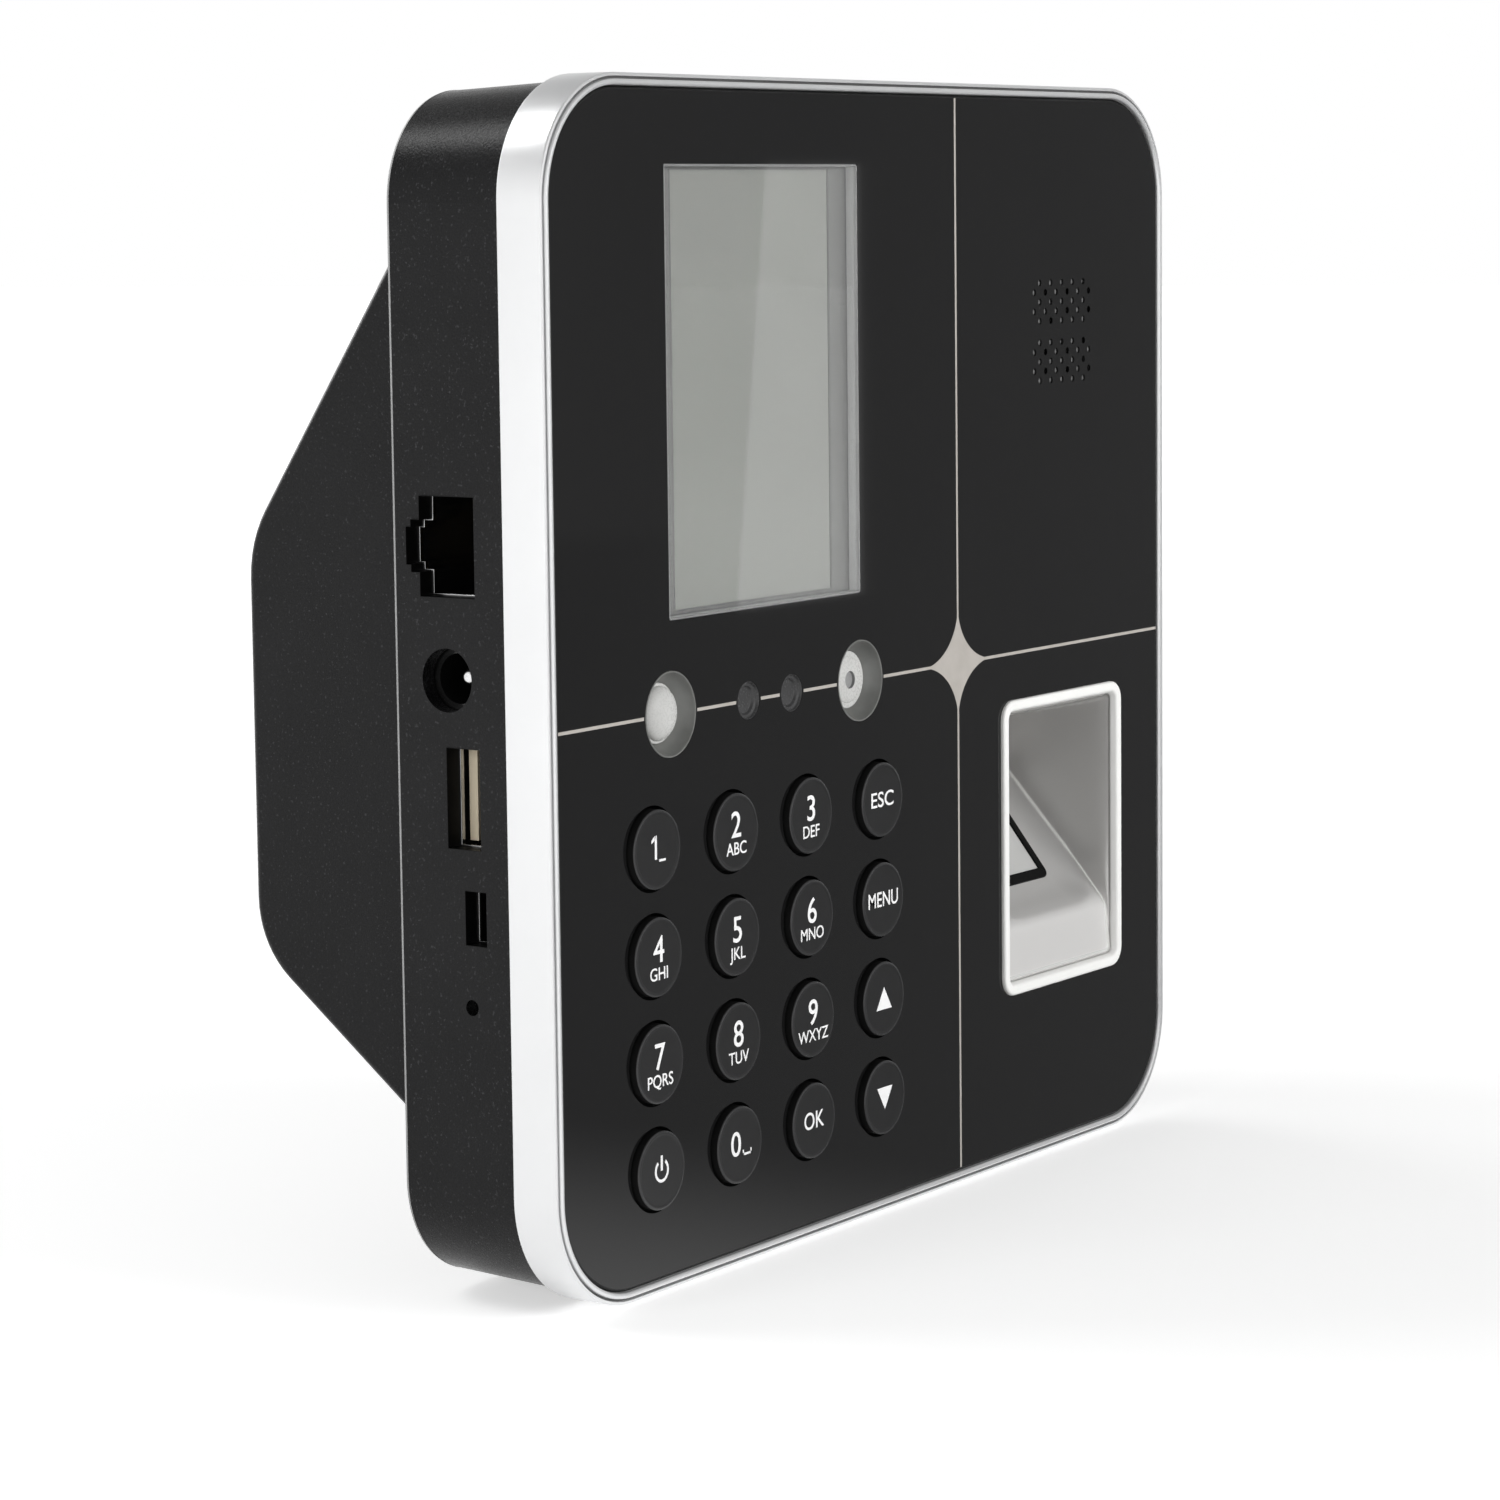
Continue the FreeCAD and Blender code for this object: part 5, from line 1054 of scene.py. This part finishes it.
class TERMINAL_OT_reader(bpy.types.Operator):
    """Build the silver reader surround: rim, tapered walls, ledge, sloping floor and scoop"""

    bl_idname = "terminal.reader"
    bl_label = "Reader surround"

    def execute(self, context):
        rim = rounded(READER_RIM, steps=8)
        rows = [*carried_round(rim, *READER_HALF, READER_CORNER, READER_MIDDLE, **READER_COLUMNS)]
        mouth = outline(*MOUTH_HALF, MOUTH_CORNER, **READER_COLUMNS)
        depth = foot_depths(mouth)
        for share in np.linspace(0, 1, WALL_ROWS + 2)[1:-1]:
            rows.append(tub_wall(mouth, WALL_TOP + (depth - WALL_TOP - CREASE) * share))
        foot = tub_wall(mouth, depth)
        start, _ = to_floor(foot)
        centre = np.array([READER_MIDDLE[0], SENSOR_ALONG])
        seat = outline(*SENSOR_HALF, SENSOR_CORNER, **READER_COLUMNS) + centre
        way = seat - start
        bend = CREASE / np.hypot(*way.T)[:, None]
        for share in np.linspace(0, 1, CREASE_ROWS):
            rows.append(bent(tub_wall(mouth, depth - CREASE), foot, on_floor(start + way * bend), share))
        for share in np.linspace(0, 1, FLOOR_ROWS + 1)[1:]:
            rows.append(on_floor(start + way * (bend + (1 - bend) * share)))
        rows.append(from_floor(seat, SEAT_DEPTH))
        wider = 1 + TUB_BACK_WIDER / SENSOR_HALF[0]
        rows.append(from_floor((seat - centre) * wider + centre, TUB_BACK))
        middle = np.insert(READER_MIDDLE, 1, 0)
        grow = (MOUTH_HALF[0] + TUB_WALL) / MOUTH_HALF[0]
        rows.append((foot - middle) * (grow, 1, grow) + middle + (0, TUB_FOOT, 0))
        piece = new_piece("reader_surround", shell(np.stack(rows)), sharp=50)
        silver = finish("reader_rim", (0.93, 0.93, 0.91), (0.89, 0.89, 0.87), 0.3, 0.02, grain_size=0.002)
        place(piece, "case", "silver_paint", silver, "reader_bezel")
        light, dark = shades(context.scene.terminal_reader.tub_colour, 0.95)
        satin = finish("tub_silver", light, dark, 0.3, 0.015, metal=0.5, grain=0.000003, grain_size=0.003)
        # Painted highlight: the tub's finish turns paler and less metallic at the ledge
        paint_ledge_highlight(satin)
        row = np.arange(len(rows))
        paint_rows(piece, satin, len(mouth), row >= len(rim) - RIM_ROWS_IN_SATIN)
        # Painted highlight: the crease rows between the walls and the floor take a paler, smoother silver
        crease_highlight = finish("crease_painted_highlight", (0.92, 0.92, 0.9), (0.86, 0.86, 0.84), 0.2, metal=0.4, patch=0.01)
        crease = len(rim) + WALL_ROWS
        paint_rows(piece, crease_highlight, len(mouth), (row >= crease) & (row < crease + CREASE_ROWS - 1))
        rings = carried_round(rounded(SEAL, steps=4), *SEAL_HALF, SEAL_CORNER, centre, arc=6)
        rings = from_floor(rings[..., [0, 2]], rings[..., 1])
        rubber = finish("seal_black", 0.006, 0.003, 0.6, patch=0.002, ior=1.2)
        place(new_piece("seal_ring", shell(rings)), "case", "seal_rubber", rubber, "reader_seal")
        return {"FINISHED"}


def tub_wall(mouth, depth):
    """Point of each column on the tapered walls, at a depth: the sides close in by SIDE_TAPER and the top
    comes down by CEILING_FALL, while the lower edge stays."""
    x = mouth[:, 0] * (MOUTH_HALF[0] - SIDE_TAPER * depth) / MOUTH_HALF[0]
    share = (mouth[:, 1] + MOUTH_HALF[1]) / (2 * MOUTH_HALF[1])
    z = -MOUTH_HALF[1] + share * (2 * MOUTH_HALF[1] - CEILING_FALL * depth)
    return np.stack([x + READER_MIDDLE[0], depth, z + READER_MIDDLE[1]], axis=-1)


def foot_depths(mouth):
    """Depth at which each column of the walls meets the floor, found by halving."""
    low, high = (np.full(len(mouth), end) for end in FOOT_BETWEEN)
    for _ in range(FOOT_HALVINGS):
        depth = (low + high) / 2
        places, inward = to_floor(tub_wall(mouth, depth))
        above = inward < floor_height(places)
        low, high = np.where(above, depth, low), np.where(above, high, depth)
    return low


def to_floor(points):
    """Places of points on the plane of the reader's slope, as X and the way along it from the ledge's top,
    and their distances behind it. The slope leans by FLOOR_LEAN."""
    y = points[..., 1] - LEDGE_TOP[0]
    z = points[..., 2] - LEDGE_TOP[1]
    along = z * math.cos(FLOOR_LEAN) + y * math.sin(FLOOR_LEAN)
    inward = y * math.cos(FLOOR_LEAN) - z * math.sin(FLOOR_LEAN)
    return np.stack([points[..., 0], along], axis=-1), inward


def from_floor(places, inward):
    """The reverse of to_floor."""
    x, along = places[..., 0], places[..., 1]
    y = LEDGE_TOP[0] + along * math.sin(FLOOR_LEAN) + inward * math.cos(FLOOR_LEAN)
    z = LEDGE_TOP[1] + along * math.cos(FLOOR_LEAN) - inward * math.sin(FLOOR_LEAN)
    return np.stack([x, y, z], axis=-1)


def on_floor(places):
    """Points of the floor's surface at places of to_floor."""
    return from_floor(places, floor_height(places))


def floor_height(places):
    """Distance of the floor's surface behind the plane of its slope: the ledge turns away below the bend,
    and the scoop sinks round the sensor as depth * (1 - (distance / reach) ** 2)."""
    x, along = places[..., 0], places[..., 1]
    bend = (np.sqrt(along ** 2 + LEDGE_BEND ** 2) - along) / 2
    away = np.hypot(np.maximum(np.abs(x - READER_MIDDLE[0]) - SENSOR_HALF[0], 0),
                    np.maximum(np.abs(along - SENSOR_ALONG) - SENSOR_HALF[1], 0))
    scoop = DISH_DEPTH * np.clip(1 - (away / DISH_REACH) ** 2, 0, 1)
    return LEDGE_TURN * bend + scoop


# Sockets

class TERMINAL_OT_port_trim(bpy.types.Operator):
    """Line the socket openings in gloss black and give the sockets their bright steel edges"""

    bl_idname = "terminal.port_trim"
    bl_label = "Socket edges"

    def execute(self, context):
        lip = context.scene.terminal_ports.lip_width / MM
        gloss = finish("port_gloss", 0.005, 0.003, 0.4, patch=0.005, ior=1.2)
        bright = finish("port_steel", 0.6, 0.45, 0.16, metal=1.0, patch=0.002)
        profile = rounded([
            (0, TRIM_BACK, 0), (0, TRIM_FRONT, 0), (TRIM_SKIN - 0.005, TRIM_FRONT, 0),
            (TRIM_SKIN + 0.005, TRIM_LIP, 0), (lip, TRIM_LIP, lip / 2), (lip, TRIM_BACK, 0),
        ])
        for name, middle, opening, steps in SOCKET_OPENINGS:
            rings = []
            for inset, x in profile:
                corners = stepped(inset, *opening, *steps) + (0, middle)
                rings.append(np.insert(corners, 0, x, axis=1))
            piece = new_piece(name, shell(np.stack(rings)))
            place(piece, "case", "socket_black", gloss)
            steel = profile[:, 0] > TRIM_SKIN
            paint_rows(piece, bright, len(rings[0]), steel & np.roll(steel, -1))
        return {"FINISHED"}


def stepped(inset, half, front, back, *steps):
    """Corners of a socket's opening in Y and Z about its middle: a rectangle from front to back, then
    narrower steps (half width, back), all of it drawn in by an inset."""
    side = [(front + inset, half - inset), (back - inset, half - inset)]
    for narrower, further in steps:
        side += [(side[-1][0], narrower - inset), (further - inset, narrower - inset)]
    return np.vstack([side, np.array(side)[::-1] * (1, -1)])


# Stage

def floor_paper(colour):
    """Pale paper with a light of its own, which only the camera and reflections see and which is stronger
    further out."""
    material, tree, shader = new_material("floor_paper")
    feed(shader, {"Base Color": (*colour, 1), "Roughness": 0.9})
    darker = [part * 0.985 for part in colour]
    mix_over(tree, noise_on_object(tree, 0.004, 4.0), shader.inputs["Base Color"], darker)
    place = node(tree, "TexCoord").outputs["Object"]
    reach = node(tree, "VectorMath", {0: place}, operation="LENGTH").outputs["Value"]
    outer = carried_over(tree, reach, FLOOR_FADE, FLOOR_GLOW, "SMOOTHSTEP")
    glow = node(tree, "Emission", {
        "Strength": combined(tree, "MULTIPLY", seen_by(tree, "Camera", "Glossy"), outer),
    })
    show(tree, node(tree, "AddShader", {0: shader.outputs[0], 1: glow.outputs[0]}))
    return material


def studio_world(level):
    """World that lights evenly at a level, and shows to the camera, reflections and glass as white walls
    under a darker ceiling."""
    world = bpy.data.worlds.new("studio")
    world.use_nodes = True
    tree = world.node_tree
    ceiling = carried_over(tree, axes(tree, "Generated")["Z"], CEILING_HEIGHT, CEILING_LEVEL, "SMOOTHSTEP")
    seen = seen_by(tree, "Camera", "Glossy", "Transmission")
    strength = carried_over(tree, seen, (0, 1), (level, ceiling))
    feed(tree.nodes["Background"], {"Color": (1, 1, 1, 1), "Strength": strength})
    return world


def stage_card(name, corners, strength, fade=()):
    """Card of the studio that shows only in reflections, one flat face for each four corners. Its light may
    fade from full to strength between two places along X and two along Y."""
    mesh = bpy.data.meshes.new(name)
    mesh.from_pydata(corners, [], np.arange(len(corners)).reshape(-1, 4))
    card = linked(name, mesh)
    material, tree, shader = new_material(name)
    if fade:
        spot = axes(tree)
        sides = [carried_over(tree, spot[axis], span, (1, strength), "SMOOTHSTEP")
                 for axis, span in zip("XY", fade)]
        strength = combined(tree, "MAXIMUM", *sides)
    feed(shader, {"Base Color": (0, 0, 0, 1), "Specular IOR Level": 0, "Emission Color": (1, 1, 1, 1),
                  "Emission Strength": strength})
    mesh.materials.append(material)
    for rays in ("camera", "diffuse", "shadow", "transmission"):
        setattr(card, "visible_" + rays, False)


def add_lamps():
    """Square lamps that face the part."""
    for name, spot, watts, size in LAMPS:
        lamp = bpy.data.lights.new(name, "AREA")
        lamp.energy = watts
        lamp.size = size
        holder = linked(name, lamp)
        holder.location = spot
        holder.rotation_euler = (-Vector(spot)).to_track_quat("-Z", "Y").to_euler()
        holder.visible_glossy = name not in UNREFLECTED_LAMPS


def add_camera(scene):
    """Camera at its place. It looks along Y, turned to the right by yaw, up by pitch, and round its own
    axis by roll."""
    camera = linked("camera", bpy.data.cameras.new("camera"))
    scene.camera = camera
    yaw, pitch, roll = (math.radians(angle) for angle in CAMERA_TURN)
    turn = Matrix.Rotation(-yaw, 4, "Z") @ Matrix.Rotation(math.pi / 2 + pitch, 4, "X")
    camera.matrix_world = Matrix.Translation(CAMERA_PLACE) @ turn @ Matrix.Rotation(roll, 4, "Z")
    camera.data.lens = CAMERA_LENS
    camera.data.shift_x, camera.data.shift_y = CAMERA_SHIFT
    camera.data.clip_start = CAMERA_CLIP


class TERMINAL_OT_stage(bpy.types.Operator):
    """Set the floor, the world, the lamps and the camera"""

    bl_idname = "terminal.stage"
    bl_label = "Stage"

    def execute(self, context):
        sizes = context.scene.terminal_stage
        floor_level = CAD_BOX[0][2] - FLOOR_GAP
        bpy.ops.mesh.primitive_plane_add(size=1)
        floor = context.object
        floor.name = "floor"
        scale = Matrix.Diagonal((FLOOR_SIDE, FLOOR_SIDE, 1, 1))
        floor.data.transform(Matrix.Translation((0, 0, floor_level)) @ scale)
        floor.data.materials.append(floor_paper(sizes.floor_colour))
        context.scene.world = studio_world(sizes.world_level)
        add_lamps()
        low = floor_level + CARD_LIFT
        near, left, right = CARD_NEAR, CARD_LEFT, CARD_RIGHT
        stage_card("dark_card", [
            (*left, low), (*right, low), (*right, CARD_TOP), (*left, CARD_TOP),
            (*near, low), (right[0], near[1], low), (right[0], left[1], low), (near[0], left[1], low),
        ], DARK_CARD_LEVEL, CARD_FADE)
        pane = np.array([(x, SHEEN_GLASS_DEPTH, z) for x, z in SHEEN_ON_GLASS]) * MM + ORIGIN
        mirrored = pane + (pane - CAMERA_PLACE) * (1, -1, 1) * SHEEN_REACH
        stage_card("sheen_card", mirrored.tolist(), SHEEN_LEVEL)
        add_camera(context.scene)
        context.scene.view_settings.view_transform = "Standard"
        return {"FINISHED"}


class TERMINAL_PT_panel(bpy.types.Panel):
    """Lists the steps that build the terminal"""

    bl_label = "Fingerprint terminal"
    bl_idname = "TERMINAL_PT_panel"
    bl_space_type = "VIEW_3D"
    bl_region_type = "UI"
    bl_category = "Terminal"

    def draw(self, context):
        for operator in OPERATORS:
            self.layout.operator(operator.bl_idname)
        for prop, group in GROUPS:
            settings = getattr(context.scene, prop)
            for name in group.__annotations__:
                self.layout.prop(settings, name)


OPERATORS = (
    TERMINAL_OT_case, TERMINAL_OT_inside, TERMINAL_OT_sockets, TERMINAL_OT_rim, TERMINAL_OT_print,
    TERMINAL_OT_keys, TERMINAL_OT_lamps, TERMINAL_OT_cameras, TERMINAL_OT_screen, TERMINAL_OT_speaker,
    TERMINAL_OT_reader, TERMINAL_OT_port_trim, TERMINAL_OT_stage,
)
GROUPS = (
    ("terminal_case", CaseSettings), ("terminal_print", PrintSettings), ("terminal_keys", KeySettings),
    ("terminal_lamps", LampSettings), ("terminal_screen", ScreenSettings),
    ("terminal_reader", ReaderSettings), ("terminal_speaker", SpeakerSettings),
    ("terminal_ports", PortSettings), ("terminal_stage", StageSettings),
)
CLASSES = (*(group for _, group in GROUPS), *OPERATORS, TERMINAL_PT_panel)


def register():
    for item in CLASSES:
        bpy.utils.register_class(item)
    for prop, group in GROUPS:
        setattr(bpy.types.Scene, prop, PointerProperty(type=group))


def unregister():
    for prop, _ in GROUPS:
        delattr(bpy.types.Scene, prop)
    for item in reversed(CLASSES):
        bpy.utils.unregister_class(item)


def main():
    """Builds every piece and the stage."""
    register()
    bpy.ops.terminal.case()
    bpy.ops.terminal.inside()
    bpy.ops.terminal.sockets()
    bpy.ops.terminal.rim()
    bpy.ops.terminal.print()
    bpy.ops.terminal.keys()
    bpy.ops.terminal.lamps()
    bpy.ops.terminal.cameras()
    bpy.ops.terminal.screen()
    bpy.ops.terminal.speaker()
    bpy.ops.terminal.reader()
    bpy.ops.terminal.port_trim()
    bpy.ops.terminal.stage()


if __name__ == "__main__":
    main()
